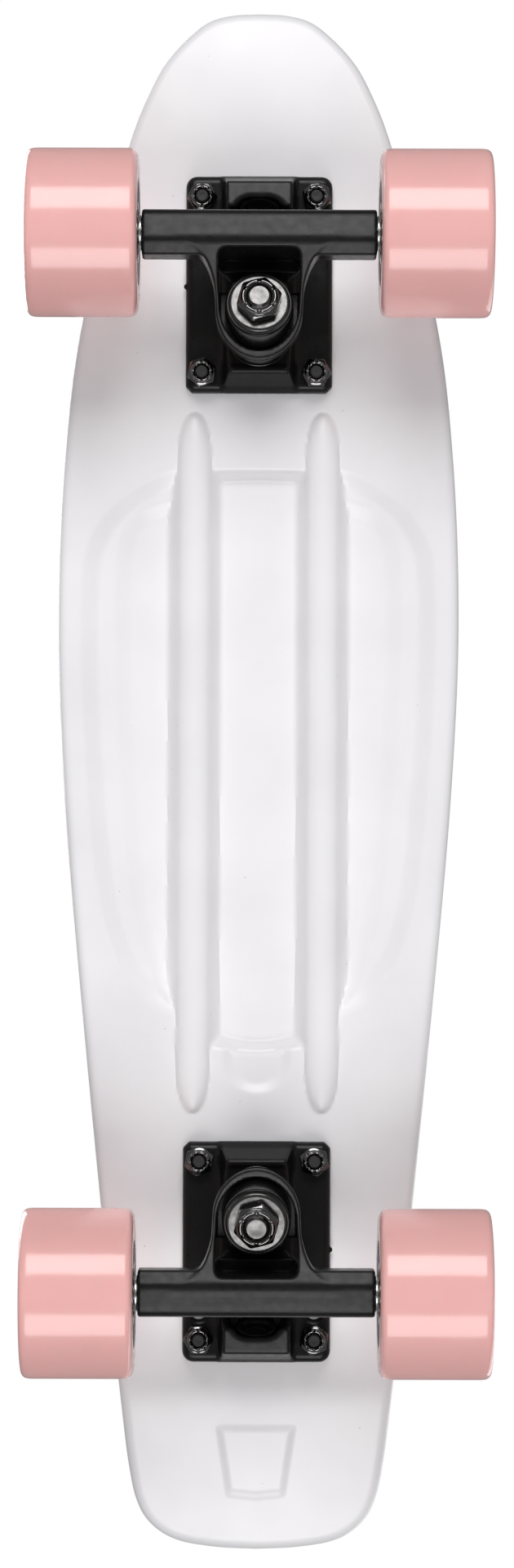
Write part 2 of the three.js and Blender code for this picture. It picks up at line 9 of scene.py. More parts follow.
import bpy
import numpy as np
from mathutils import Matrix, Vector


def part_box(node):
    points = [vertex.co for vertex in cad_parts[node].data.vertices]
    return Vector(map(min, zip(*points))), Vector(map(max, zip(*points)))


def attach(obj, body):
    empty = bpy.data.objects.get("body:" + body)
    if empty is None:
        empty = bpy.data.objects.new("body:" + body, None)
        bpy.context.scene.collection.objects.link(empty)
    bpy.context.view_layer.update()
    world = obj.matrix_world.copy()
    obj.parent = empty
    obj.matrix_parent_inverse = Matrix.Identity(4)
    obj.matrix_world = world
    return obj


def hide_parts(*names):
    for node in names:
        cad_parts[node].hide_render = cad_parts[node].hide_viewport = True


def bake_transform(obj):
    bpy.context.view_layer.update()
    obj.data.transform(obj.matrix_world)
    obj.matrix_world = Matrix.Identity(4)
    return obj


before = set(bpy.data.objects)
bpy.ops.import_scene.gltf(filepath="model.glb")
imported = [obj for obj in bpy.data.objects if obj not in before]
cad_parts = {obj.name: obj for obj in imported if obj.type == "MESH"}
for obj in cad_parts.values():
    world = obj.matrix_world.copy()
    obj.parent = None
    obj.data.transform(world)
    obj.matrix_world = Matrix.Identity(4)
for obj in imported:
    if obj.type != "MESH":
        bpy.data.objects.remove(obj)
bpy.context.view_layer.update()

MM = 0.001
TRUCKS = ("front", "rear")
SIDES = {"left": 1, "right": -1}


def box_mm(node):
    """Lowest and highest corner of a CAD node, in millimetres."""
    low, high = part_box(node)
    return np.array(low) / MM, np.array(high) / MM


# ------------------------------------------------------------------ sizes taken from the frame

GAP = 0.2  # clearance between neighbouring pieces, as in the CAD
DECK_HIGH = box_mm("deck")[1]
UNDERSIDE = box_mm("front_base_plate")[1][2] + GAP
DECK_HALF_LENGTH = DECK_HIGH[0]
DECK_THICKNESS = 11.0
TYRE_LOW, TYRE_HIGH = box_mm("front_left_tyre")
WHEEL_RADIUS = (TYRE_HIGH[2] - TYRE_LOW[2]) / 2
WHEEL_WIDTH = TYRE_HIGH[1] - TYRE_LOW[1]
WHEEL_INNER_FACE = TYRE_LOW[1]
AXLE_DROP = UNDERSIDE - WHEEL_RADIUS
TRUCK_X = {name: float(np.mean([b[0] for b in box_mm(f"{name}_base_plate")])) for name in TRUCKS}
OUTBOARD = {"front": 1, "rear": -1}
AXLE_U = float(np.mean([TYRE_LOW[0], TYRE_HIGH[0]])) - TRUCK_X["front"]
HANGER_HALF_LENGTH = box_mm("front_hanger")[1][1]
AXLE_HALF_LENGTH = box_mm("front_axle")[1][1]

# ------------------------------------------------------------------ array shapes: (points, faces)


def join(*shapes):
    """Several shapes as one."""
    points, faces, offset = [], [], 0
    for p, f in shapes:
        points.append(np.asarray(p, float))
        faces.extend(tuple(int(i) + offset for i in face) for face in f)
        offset += len(p)
    return np.concatenate(points), faces


def circle(sides):
    """The angles of a round shape's sides."""
    return np.arange(sides) * 2 * math.pi / sides


def flipped(faces):
    """The same faces, turned over."""
    return [tuple(face)[::-1] for face in faces]


def polar(radii, heights):
    """A closed surface round z from rings of radii (rings, sides) and heights (rings)."""
    rings, sides = radii.shape
    angle = circle(sides)
    z = np.broadcast_to(np.asarray(heights, float).reshape(rings, -1), radii.shape)
    points = np.stack([radii * np.cos(angle), radii * np.sin(angle), z], -1).reshape(-1, 3)
    faces = []
    for ring in range(rings):
        here, after = ring * sides, (ring + 1) % rings * sides
        for i in range(sides):
            j = (i + 1) % sides
            faces.append((here + i, here + j, after + j, after + i))
    return points, faces


def turned(profile, sides=64):
    """A body of revolution about +Z from a closed list of (radius, height)."""
    rings = np.array(profile, float)
    return polar(np.repeat(rings[:, :1], sides, axis=1), rings[:, 1])


def filleted(corners, steps=5):
    """A closed profile from (x, y, fillet) corners, each fillet as a short curve."""
    outline = []
    count = len(corners)
    for i, (x, y, fillet) in enumerate(corners):
        here = np.array([x, y], float)
        if fillet <= 0:
            outline.append(tuple(here))
            continue
        before = np.array(corners[i - 1][:2], float) - here
        after = np.array(corners[(i + 1) % count][:2], float) - here
        start = here + before * min(fillet / np.linalg.norm(before), 0.5)
        end = here + after * min(fillet / np.linalg.norm(after), 0.5)
        for t in np.linspace(0, 1, steps):
            outline.append(tuple((1 - t) ** 2 * start + 2 * t * (1 - t) * here + t * t * end))
    return outline


def spline(points, count):
    """Centripetal curve through 2-D points, sampled count times along its length."""
    p = np.array(points, float)
    p = np.vstack([2 * p[0] - p[1], p, 2 * p[-1] - p[-2]])
    dense = []
    for k in range(1, len(p) - 2):
        knots = [0.0]
        for a, b in ((k - 1, k), (k, k + 1), (k + 1, k + 2)):
            knots.append(knots[-1] + math.sqrt(np.linalg.norm(p[b] - p[a])))
        t = np.linspace(knots[1], knots[2], 40, endpoint=False)[:, None]
        low = [_between(p[k - 1 + i], p[k + i], knots[i], knots[i + 1], t) for i in range(3)]
        mid = [_between(low[i], low[i + 1], knots[i], knots[i + 2], t) for i in range(2)]
        dense.append(_between(mid[0], mid[1], knots[1], knots[2], t))
    dense = np.vstack([*dense, p[-2]])
    run = np.concatenate([[0], np.cumsum(np.linalg.norm(np.diff(dense, axis=0), axis=1))])
    at = np.linspace(0, run[-1], count)
    return np.stack([np.interp(at, run, dense[:, i]) for i in range(2)], -1)


def _between(a, b, start, end, t):
    return a + (b - a) * ((t - start) / (end - start))


def smoothstep(x):
    x = np.clip(x, 0, 1)
    return x * x * (3 - 2 * x)


# ------------------------------------------------------------------ solids as distance fields


def segment_distance(x, y, points):
    """Distance of points (x, y) to an open 2-D line."""
    best = np.full(np.broadcast(x, y).shape, np.inf)
    for (x0, y0), (x1, y1) in zip(points[:-1], points[1:]):
        ex, ey = x1 - x0, y1 - y0
        length = max(ex * ex + ey * ey, 1e-9)
        along = np.clip(((x - x0) * ex + (y - y0) * ey) / length, 0, 1)
        best = np.minimum(best, (x - x0 - along * ex) ** 2 + (y - y0 - along * ey) ** 2)
    return np.sqrt(best)


def polygon_distance(x, y, points):
    """Signed distance to a closed 2-D outline, negative inside."""
    loop = [tuple(p) for p in points]
    loop.append(loop[0])
    distance = segment_distance(x, y, loop)
    inside = np.zeros(distance.shape, bool)
    for (x0, y0), (x1, y1) in zip(loop[:-1], loop[1:]):
        if y0 == y1:
            continue
        spans = (y0 <= y) != (y1 <= y)
        inside ^= spans & (x < x0 + (y - y0) * (x1 - x0) / (y1 - y0))
    return np.where(inside, -distance, distance)


def bounded(outline_distance, axial_distance, rounding):
    """Distance to a prism from those to its outline and to its end planes, edges rounded."""
    a = outline_distance + rounding
    b = axial_distance + rounding
    outside = np.hypot(np.maximum(a, 0), np.maximum(b, 0))
    return np.minimum(np.maximum(a, b), 0) + outside - rounding


def merged(a, b, fillet):
    """Union of two fields with a fillet where they meet."""
    blend = np.maximum(fillet - np.abs(a - b), 0) / fillet
    return np.minimum(a, b) - blend * blend * fillet / 4


def common(a, b, rounding):
    """Intersection of two fields with a rounded edge."""
    return -merged(-a, -b, rounding)


def cut(a, b, rounding):
    """Field a with b taken away and the new edge rounded."""
    return common(a, -b, rounding)


def half_plane(x, y, start, end):
    """Signed distance to the line from start to end, positive on its left side."""
    (x0, y0), (x1, y1) = start, end
    return ((x1 - x0) * (y - y0) - (y1 - y0) * (x - x0)) / math.hypot(x1 - x0, y1 - y0)


def grid(low, high, step):
    """Open coordinate arrays covering a box."""
    axes = [np.arange(a, b + step, step) for a, b in zip(low, high)]
    return axes[0][:, None, None], axes[1][None, :, None], axes[2][None, None, :]


def surface(field, low, step):
    """The closed quad surface of a distance field, one point in each cell that it crosses."""
    inside = field < 0
    cells = tuple(n - 1 for n in field.shape)
    total = np.zeros(cells + (3,), np.float32)
    crossings = np.zeros(cells, np.float32)
    edges = []
    for axis in range(3):
        first = [slice(None)] * 3
        second = [slice(None)] * 3
        first[axis] = slice(None, -1)
        second[axis] = slice(1, None)
        a, b = field[tuple(first)], field[tuple(second)]
        crossed = inside[tuple(first)] != inside[tuple(second)]
        share = np.where(crossed, a / np.where(crossed, a - b, 1), 0).astype(np.float32)
        edges.append((crossed, inside[tuple(first)]))
        others = [i for i in range(3) if i != axis]
        for shift in ((0, 0), (0, 1), (1, 0), (1, 1)):
            window = [slice(None)] * 3
            for other, by in zip(others, shift):
                window[other] = slice(by, by + cells[other])
            mask = crossed[tuple(window)]
            crossings += mask
            total[..., axis] += share[tuple(window)]
            for other, by in zip(others, shift):
                total[..., other] += mask * by
    active = crossings > 0
    number = np.full(cells, -1)
    number[active] = np.arange(active.sum())
    corner = np.argwhere(active)
    points = (corner + total[active] / crossings[active][:, None]) * step + np.array(low)
    return points, _surface_faces(edges, number, cells)


def _surface_faces(edges, number, cells):
    faces = []
    for axis, (crossed, starts_inside) in enumerate(edges):
        one, two = (axis + 1) % 3, (axis + 2) % 3
        at = np.argwhere(crossed)
        keep = (at[:, one] > 0) & (at[:, two] > 0)
        keep &= (at[:, one] < cells[one]) & (at[:, two] < cells[two])
        at = at[keep]
        quad = []
        for back_one, back_two in ((1, 1), (0, 1), (0, 0), (1, 0)):
            cell = at.copy()
            cell[:, one] -= back_one
            cell[:, two] -= back_two
            quad.append(number[tuple(cell.T)])
        quad = np.stack(quad, -1)
        outward = starts_inside[tuple(at.T)]
        quad[~outward] = quad[~outward][:, ::-1]
        faces.append(quad)
    return np.concatenate(faces)


# ------------------------------------------------------------------ placing shapes


def truck_world(name, points):
    """Points in a truck's u, v, w as points in the board's frame."""
    p = np.asarray(points, float)
    sign = OUTBOARD[name]
    return np.stack([TRUCK_X[name] + sign * p[:, 0], sign * p[:, 1], UNDERSIDE - p[:, 2]], -1)


def on_truck(name, shape):
    """A shape in a truck's axes, moved to the board's frame. w points down, so faces turn over."""
    points, faces = shape
    return truck_world(name, points), flipped(faces)


def on_wheel(name, side, shape):
    """A shape whose z runs outwards from a wheel's inner face, moved to the board's frame."""
    points, faces = shape
    p = np.asarray(points, float)
    x = TRUCK_X[name] + OUTBOARD[name] * AXLE_U
    y = side * (WHEEL_INNER_FACE + p[:, 2])
    placed = np.stack([x + p[:, 0], y, WHEEL_RADIUS - side * p[:, 1]], -1)
    return placed, [tuple(face) for face in faces]


def moved(shape, x=0.0, y=0.0, z=0.0):
    points, faces = shape
    return np.asarray(points, float) + np.array([x, y, z]), faces


MATERIALS = {}


def piece(name, shape, body, slot, *nodes, sharp=40, material=None):
    """A finished mesh object that rides on a body and stands for the named CAD nodes."""
    points, faces = shape
    mesh = bpy.data.meshes.new(name)
    mesh.from_pydata((np.asarray(points) * MM).tolist(), [], [list(map(int, f)) for f in faces])
    mesh.validate()
    mesh.shade_smooth()
    if sharp:
        mesh.set_sharp_from_angle(angle=math.radians(sharp))
    made = bpy.data.objects.new(name, mesh)
    bpy.context.scene.collection.objects.link(made)
    mesh.materials.append(MATERIALS[material or slot])
    if isinstance(body, str):
        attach(made, body)
    if nodes:
        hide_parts(*nodes)
    return made


# ------------------------------------------------------------------ materials


class Finish:
    """A Principled material and the procedural nodes that feed it."""

    def __init__(self, name, color, roughness, metallic=0.0):
        self.material = bpy.data.materials.new(name)
        self.material.use_nodes = True
        self.tree = self.material.node_tree
        self.shader = self.tree.nodes["Principled BSDF"]
        self.where = self.tree.nodes.new("ShaderNodeTexCoord").outputs["Object"]
        self.set("Base Color", (*color, 1))
        self.set("Roughness", roughness)
        self.set("Metallic", metallic)
        MATERIALS[name] = self.material

    def set(self, socket, value):
        self.shader.inputs[socket].default_value = value

    def feed(self, socket, output):
        self.tree.links.new(output, self.shader.inputs[socket])

    def node(self, kind, inputs=(), **settings):
        made = self.tree.nodes.new(kind)
        for key, value in settings.items():
            setattr(made, key, value)
        for key, value in dict(inputs).items():
            if isinstance(value, bpy.types.NodeSocket):
                self.tree.links.new(value, made.inputs[key])
            else:
                made.inputs[key].default_value = value
        return made

    def noise(self, size_mm, detail):
        """Noise whose features are about size_mm across, as a 0 to 1 output."""
        inputs = {"Vector": self.where, "Scale": 1 / (size_mm * MM), "Detail": detail}
        return self.node("ShaderNodeTexNoise", inputs).outputs["Fac"]

    def remap(self, value, low, high, to_low=0.0, to_high=1.0):
        inputs = {"Value": value, 1: low, 2: high, 3: to_low, 4: to_high}
        return self.node("ShaderNodeMapRange", inputs).outputs[0]

    def uneven_gloss(self, noise, low, high):
        """Roughness that wanders from low to high with a noise output."""
        self.feed("Roughness", self.remap(noise, 0.3, 0.7, low, high))

    def math(self, operation, a, b=0.0):
        return self.node("ShaderNodeMath", {0: a, 1: b}, operation=operation).outputs[0]

    def mix(self, share, a, b):
        """Colour a where share is 0, b where it is 1."""
        made = self.node("ShaderNodeMix", data_type="RGBA")
        for index, value in ((0, share), (6, a), (7, b)):
            if isinstance(value, bpy.types.NodeSocket):
                self.tree.links.new(value, made.inputs[index])
            elif index:
                made.inputs[index].default_value = (*value, 1)
            else:
                made.inputs[index].default_value = value
        return made.outputs[2]

    def bump(self, *layers):
        """Each layer is (height output, depth in mm); all are added into one normal."""
        normal = None
        for height, depth in layers:
            inputs = {"Height": height, "Distance": depth * MM, "Strength": 1.0}
            if normal:
                inputs["Normal"] = normal
            normal = self.node("ShaderNodeBump", inputs).outputs[0]
        self.feed("Normal", normal)

    def specks(self, size_mm, share):
        """1 on small scattered dots, 0 elsewhere."""
        inputs = {"Vector": self.where, "Scale": 1 / (size_mm * MM), "Randomness": 1.0}
        cells = self.node("ShaderNodeTexVoronoi", inputs)
        dot = self.math("LESS_THAN", cells.outputs["Distance"], 0.12)
        pick = self.node("ShaderNodeSeparateColor", {"Color": cells.outputs["Color"]})
        chosen = self.math("LESS_THAN", pick.outputs[0], share)
        return self.math("MULTIPLY", dot, chosen)


def deck_plastic():
    finish = Finish("white_plastic", (0.83, 0.82, 0.845), 0.33)
    finish.set("Specular IOR Level", 0.4)
    finish.set("Subsurface Weight", 0.03)
    finish.set("Subsurface Radius", (1.0, 0.9, 0.9))
    finish.set("Subsurface Scale", 0.002)
    cloud = finish.noise(38, 4)
    tint = finish.mix(finish.remap(cloud, 0.35, 0.65), (0.82, 0.81, 0.835), (0.86, 0.85, 0.865))
    specks = finish.math("MULTIPLY", finish.specks(2.6, 0.008), 0.45)
    finish.feed("Base Color", finish.mix(specks, tint, (0.42, 0.38, 0.38)))
    finish.uneven_gloss(finish.noise(11, 5), 0.3, 0.36)
    finish.bump((finish.noise(6, 2), 0.008), (finish.noise(0.6, 2), 0.002))


def cast_coating():
    finish = Finish("cast_black", (0.008, 0.0076, 0.0076), 0.34)
    finish.set("Specular IOR Level", 0.2)
    cloud = finish.noise(14, 4)
    finish.feed("Base Color", finish.mix(cloud, (0.006, 0.0057, 0.0057), (0.011, 0.0103, 0.01)))
    finish.uneven_gloss(finish.noise(3, 4), 0.26, 0.36)
    finish.bump((finish.noise(0.9, 3), 0.025), (finish.noise(0.3, 2), 0.012))


def glossy_steel():
    finish = Finish("black_steel", (0.16, 0.157, 0.157), 0.12, 1.0)
    finish.uneven_gloss(finish.noise(1.4, 4), 0.08, 0.17)
    finish.bump((finish.noise(1.5, 3), 0.006), (finish.noise(0.25, 2), 0.001))


def oxide_steel():
    finish = Finish("black_oxide", (0.03, 0.03, 0.031), 0.55, 0.3)
    finish.uneven_gloss(finish.noise(0.8, 4), 0.42, 0.65)
    finish.bump((finish.noise(0.5, 4), 0.03))


def dark_nickel():
    finish = Finish("dark_nickel", (0.085, 0.083, 0.082), 0.2, 1.0)
    scuff = finish.noise(2.2, 4)
    tint = finish.mix(finish.remap(scuff, 0.35, 0.65), (0.105, 0.103, 0.102), (0.08, 0.078, 0.077))
    finish.feed("Base Color", tint)
    finish.uneven_gloss(scuff, 0.18, 0.28)
    finish.bump((scuff, 0.008), (finish.noise(0.3, 2), 0.002))


def bushing_urethane():
    finish = Finish("bushing_urethane", (0.005, 0.005, 0.005), 0.2)
    finish.set("Specular IOR Level", 0.2)
    finish.uneven_gloss(finish.noise(2.5, 4), 0.15, 0.28)
    finish.bump((finish.noise(0.7, 3), 0.01))


def black_nylon():
    finish = Finish("black_nylon", (0.016, 0.016, 0.017), 0.42)
    finish.uneven_gloss(finish.noise(2, 4), 0.34, 0.5)
    finish.bump((finish.noise(0.35, 3), 0.012))


def wheel_urethane():
    finish = Finish("pink_urethane", (0.88, 0.48, 0.465), 0.15)
    finish.set("Subsurface Weight", 0.35)
    finish.set("Subsurface Radius", (1.0, 0.5, 0.45))
    finish.set("Subsurface Scale", 0.004)
    cloud = finish.noise(16, 4)
    finish.feed("Base Color", finish.mix(cloud, (0.83, 0.45, 0.435), (0.87, 0.485, 0.465)))
    finish.uneven_gloss(finish.noise(3, 5), 0.12, 0.2)
    finish.bump((finish.noise(6, 3), 0.008), (finish.noise(0.6, 2), 0.001))


def zinc_steel():
    finish = Finish("zinc_steel", (0.62, 0.63, 0.61), 0.26, 1.0)
    bloom = finish.noise(4, 4)
    finish.feed("Base Color", finish.mix(bloom, (0.56, 0.57, 0.55), (0.7, 0.7, 0.68)))
    finish.uneven_gloss(finish.noise(1, 5), 0.18, 0.36)
    finish.bump((finish.noise(0.25, 3), 0.004))


for make_finish in (
    deck_plastic,
    cast_coating,
    glossy_steel,
    oxide_steel,
    dark_nickel,
    bushing_urethane,
    black_nylon,
    wheel_urethane,
    zinc_steel,
):
    make_finish()

# ------------------------------------------------------------------ deck

TAIL_KICK_START = -217.0
TAIL_KICK_BEND = 12.0
TAIL_KICK_SLOPE = 0.24
NOSE_LIFT_START = 205.0
NOSE_LIFT = 7.0

DECK_OUTLINE = [
    (DECK_HALF_LENGTH, 0),
    (278.9, 9.5),
    (276.4, 18.4),
    (269.3, 27.2),
    (259.6, 35.3),
    (247.4, 41.5),
    (233.2, 46.9),
    (163.7, 64.8),
    (115.7, 70.5),
    (56.3, 72.6),
    (-2.8, 70.2),
    (-97.1, 61.9),
    (-225.6, 48.5),
    (-248.8, 45.7),
    (-260.4, 43.3),
    (-267.2, 40.2),
    (-272.6, 35.0),
    (-276.2, 28.1),
    (-278.6, 15.0),
    (-DECK_HALF_LENGTH, 0),
]
EDGE_LOW_RADIUS = 3.6
EDGE_TOP_RADIUS = 3.0
EDGE_STEPS = 6

# The panel sunk into the underside: each wall's outer edge outside the ribs, as (x, half width).
PANEL_OUTER = [
    (112.5, 20),
    (111.5, 29.9),
    (108.9, 37.1),
    (105.0, 43.8),
    (100.2, 50.5),
    (94.4, 56.3),
    (88.2, 60.1),
    (82.4, 62.5),
    (74.6, 63.7),
    (56.4, 64.4),
    (20, 63.4),
    (-12, 61.1),
    (-44, 57.5),
    (-61.2, 52.7),
    (-67.3, 50.1),
    (-74.5, 44.6),
    (-82.6, 38.8),
    (-86.8, 30.2),
    (-89, 20),
]
PANEL_INNER = [
    (102, 20),
    (100.7, 30.2),
    (95.9, 43.6),
    (88.2, 49.4),
    (80.4, 51.3),
    (68.9, 51.8),
    (56.4, 52.0),
    (20, 51.0),
    (-12, 48.6),
    (-53.5, 43.6),
    (-82.1, 31.7),
    (-86, 20),
]
OUTER_WALL_WIDTH = 6.3
OUTER_WALL_DEPTH = 3.5
INNER_WALL_WIDTH = 5.8
INNER_WALL_DEPTH = 2.3
PANEL_DEPTH = OUTER_WALL_DEPTH + INNER_WALL_DEPTH
OUTER_WALL_FADE = (-60, -90)  # the outer wall loses most of its depth between these x
OUTER_WALL_LEFT = 0.25

# Between the ribs one wall takes the panel's whole depth: x at the middle, and how it bows.
FRONT_WALL = (110.9, 107.9)
FRONT_WALL_BOW = -0.9
REAR_WALL = (-98.8, -95.9)
REAR_WALL_BOW = (1.0, 3.3)
BOW_AT = 14.5

RIB_OFFSET = 23.2
RIB_FRONT = 131.6
RIB_REAR = -121.2
RIB_HALF_WIDTH = 5.95
RIB_HEIGHT = 3.6
RIB_TAPER = 20.0
RIB_FOOT = 3.5  # how much wider the rib is at the panel's floor

BOSS_X = -101.5
BOSS_RADIUS = 12.4
BOSS_WALL = 3.1
BOSS_FLAT = 3.9
BOSS_DEPTH = 1.5

PAD_FRONT = (-233.4, 14.25)
PAD_REAR = (-259.2, 10.5)
PAD_BOW = 1.2
PAD_DEPTH = 1.7

CREASE = [(-64, 51), (-91.6, 47.9), (-110.7, 46.5), (-137.2, 45.5)]
CREASE_DEPTH = 0.35


def deck_lift(x):
    """How far the underside has risen at x, under the nose and the kicked tail."""
    past = TAIL_KICK_START - x
    bend = TAIL_KICK_SLOPE * past * past / (2 * TAIL_KICK_BEND)
    straight = TAIL_KICK_SLOPE * (past - TAIL_KICK_BEND / 2)
    tail = np.where(past > TAIL_KICK_BEND, straight, np.where(past > 0, bend, 0))
    nose = np.clip((x - NOSE_LIFT_START) / (DECK_HALF_LENGTH - NOSE_LIFT_START), 0, None) ** 2
    return tail + NOSE_LIFT * nose


def mirrored_outline(half, count=90):
    """A smooth half outline made into a closed one."""
    curve = spline(half, count)
    mirrored = curve[::-1] * np.array([1, -1])
    return [tuple(p) for p in np.vstack([curve, mirrored])]


def ramp(distance, width, fillet=0.6):
    """0 before a wall, 1 past it and straight between, with a small fillet at both ends."""
    t = distance / width
    soft = fillet / width
    start = np.clip(t + soft, 0, None) ** 2 / (4 * soft)
    end = 1 - np.clip(1 - t + soft, 0, None) ** 2 / (4 * soft)
    middle = np.where(t < soft, start, np.where(t > 1 - soft, end, t))
    return np.where(t <= -soft, 0, np.where(t >= 1 + soft, 1, middle))


def wall_between(x, high, low):
    """0 on the board's nose side of high, 1 on the tail side of low; both may vary."""
    return ramp(high - x, np.abs(high - low))


def panel_relief(x, y):
    """Depth of the two-step panel, as if there were no ribs."""
    outer = -polygon_distance(x, y, mirrored_outline(PANEL_OUTER))
    inner = -polygon_distance(x, y, mirrored_outline(PANEL_INNER))
    start, end = OUTER_WALL_FADE
    kept = 1 - (1 - OUTER_WALL_LEFT) * smoothstep((x - start) / (end - start))
    sides = OUTER_WALL_DEPTH * kept * ramp(outer, OUTER_WALL_WIDTH)
    sides += (PANEL_DEPTH - OUTER_WALL_DEPTH * kept) * ramp(inner, INNER_WALL_WIDTH)
    bow = (y / BOW_AT) ** 2
    high, low = FRONT_WALL
    ends = wall_between(x, high, low + FRONT_WALL_BOW * bow)
    high, low = REAR_WALL
    ends *= 1 - wall_between(x, low + REAR_WALL_BOW[1] * bow, high + REAR_WALL_BOW[0] * bow)
    return np.where(np.abs(y) < RIB_OFFSET, PANEL_DEPTH * ends, sides)


def rib_relief(x, y):
    """How far the ribs' crowns stand proud, and how far outside the crowns a point is."""
    ahead = np.minimum(RIB_FRONT - x, x - RIB_REAR)
    share = np.sqrt(np.clip(1 - np.clip(1 - ahead / RIB_TAPER, 0, 1) ** 2.6, 0, 1))
    half = RIB_HALF_WIDTH * share
    across = np.abs(np.abs(y) - RIB_OFFSET)
    crown = np.clip(1 - (across / np.maximum(half, 0.01)) ** 2, 0, 1) ** 0.6
    height = np.where(ahead > 0, RIB_HEIGHT * share * crown, 0)
    return height, np.maximum(across - half, -ahead)


def boss_relief(x, y):
    """The half-moon recess behind the panel, its flat side forwards."""
    distance = np.maximum(np.hypot(x - BOSS_X, y) - BOSS_RADIUS, x - BOSS_X - BOSS_FLAT)
    return BOSS_DEPTH * ramp(-distance, BOSS_WALL, 0.7)


def tail_pad_relief(x, y):
    """The shallow trapezoid recess under the tail."""
    (front, wide), (rear, narrow) = PAD_FRONT, PAD_REAR
    outline = [(front, wide), (front, -wide), (rear, -narrow), (rear - PAD_BOW, 0), (rear, narrow)]
    return PAD_DEPTH * ramp(-polygon_distance(x, y, outline), 2.0, 0.6)


def crease_relief(x, y):
    """A faint step that runs on from the panel's outer wall towards the tail."""
    line = np.array(CREASE)[::-1]
    edge = np.interp(x, line[:, 0], line[:, 1])
    fade = smoothstep((x - CREASE[-1][0]) / 50) * smoothstep((CREASE[0][0] - x) / 8)
    return CREASE_DEPTH * fade * ramp(edge - np.abs(y), 1.6, 0.5)


def underside_relief(x, y):
    """How far the underside is sunk into the deck (positive) or stands proud of it (negative)."""
    crown, beyond = rib_relief(x, y)
    foot = np.clip(beyond, 0, None) / RIB_FOOT * PANEL_DEPTH
    sunk = np.minimum(panel_relief(x, y) + crease_relief(x, y), foot)
    return sunk - crown + boss_relief(x, y) + tail_pad_relief(x, y)


def deck_stations():
    """The outline resampled: finely where the underside has detail, coarsely elsewhere."""
    curve = spline(DECK_OUTLINE, 6000)
    x = (curve[1:, 0] + curve[:-1, 0]) / 2
    spacing = np.full(len(x), 2.6)
    spacing[(x < RIB_FRONT + 5) & (x > RIB_REAR - 5)] = 0.95
    spacing[(x < TAIL_KICK_START + 4) & (x > PAD_REAR[0] - 6)] = 1.0
    step = np.abs(np.diff(curve, axis=0))
    effort = np.concatenate([[0], np.cumsum(np.hypot(step[:, 0] / spacing, step[:, 1] / 1.6))])
    at = np.linspace(0, effort[-1], int(effort[-1]))
    return np.stack([np.interp(at, effort, curve[:, i]) for i in range(2)], -1)


def deck_edge_profile():
    """(inset, height) round the edge, from the underside to the top."""
    profile = []
    for angle in np.linspace(0, math.pi / 2, EDGE_STEPS):
        inset = EDGE_LOW_RADIUS * (1 - math.sin(angle))
        profile.append((inset, EDGE_LOW_RADIUS * (1 - math.cos(angle))))
    for angle in np.linspace(0, math.pi / 2, EDGE_STEPS):
        inset = EDGE_TOP_RADIUS * (1 - math.cos(angle))
        profile.append((inset, DECK_THICKNESS - EDGE_TOP_RADIUS * (1 - math.sin(angle))))
    return profile


def deck_rows(stations, inset):
    """The left half of the outline moved inwards, its two ends kept on the middle line."""
    tangent = np.gradient(stations, axis=0)
    tangent /= np.linalg.norm(tangent, axis=1)[:, None]
    inward = np.stack([tangent[:, 1], -tangent[:, 0]], -1)
    inward[inward[:, 1] > 0] *= -1
    inward[0] = (-1, 0)
    inward[-1] = (1, 0)
    row = stations + inward * inset
    row[0, 1] = row[-1, 1] = 0
    row[1:-1, 1] = np.maximum(row[1:-1, 1], 0.05)
    return row


class Grid:
    """Points and quads gathered from several sheets and strips."""

    def __init__(self):
        self.points = []
        self.faces = []
        self.count = 0

    def add(self, points):
        """Adds points and returns their numbers, in the same arrangement."""
        numbers = self.count + np.arange(points.size // 3).reshape(points.shape[:-1])
        self.points.append(points.reshape(-1, 3))
        self.count += points.size // 3
        return numbers

    def stitch(self, a, b):
        for i in range(len(a) - 1):
            self.faces.append((a[i], b[i], b[i + 1], a[i + 1]))

    def shape(self):
        return np.concatenate(self.points), self.faces


def deck_sheet(rim, columns, height, sunk):
    """A grid across the deck between the two sides of one rim."""
    share = np.linspace(1, -1, columns)
    x = np.repeat(rim[:, :1], columns, axis=1)
    y = rim[:, 1:] * share
    z = UNDERSIDE + deck_lift(x) + height
    if sunk:
        z = z + underside_relief(x, y) * smoothstep((rim[:, 1:] - np.abs(y)) / 2)
    return np.stack([x, y, z], -1)


def deck_moulding(across_low=140, across_top=16):
    """One closed mesh: relief on the underside, rounded edges and a plain top."""
    stations = deck_stations()
    profile = deck_edge_profile()
    rims = [deck_rows(stations, inset) for inset, _ in profile]
    made = Grid()
    bottom = made.add(deck_sheet(rims[0], across_low, profile[0][1], True))
    top = made.add(deck_sheet(rims[-1], across_top, profile[-1][1], False))
    for column in range(across_low - 1):
        made.stitch(bottom[:, column], bottom[:, column + 1])
    for column in range(across_top - 1):
        made.stitch(top[:, column + 1], top[:, column])
    for side in (1, -1):
        end = 0 if side > 0 else -1
        strips = [bottom[:, end]]
        for rim, (_, height) in list(zip(rims, profile))[1:-1]:
            z = UNDERSIDE + deck_lift(rim[:, 0]) + height
            strips.append(made.add(np.stack([rim[:, 0], side * rim[:, 1], z], -1)))
        strips.append(top[:, end])
        for low, high in zip(strips[:-1], strips[1:]):
            made.stitch(*((high, low) if side > 0 else (low, high)))
    return made.shape()


GRIP_PITCH = 9.0
GRIP_ROW = 7.8
GRIP_PAD_RADIUS = 3.5
GRIP_HEIGHT = 0.7
GRIP_MARGIN = 9.0
GRIP_BOLT_CLEARANCE = 8.5
# (share of the pad's radius, height) from its foot, sunk in the deck, to its bevelled top.
GRIP_LEVELS = [(1.0, -0.3), (1.0, 0.3), (0.9, 0.58), (0.76, GRIP_HEIGHT)]


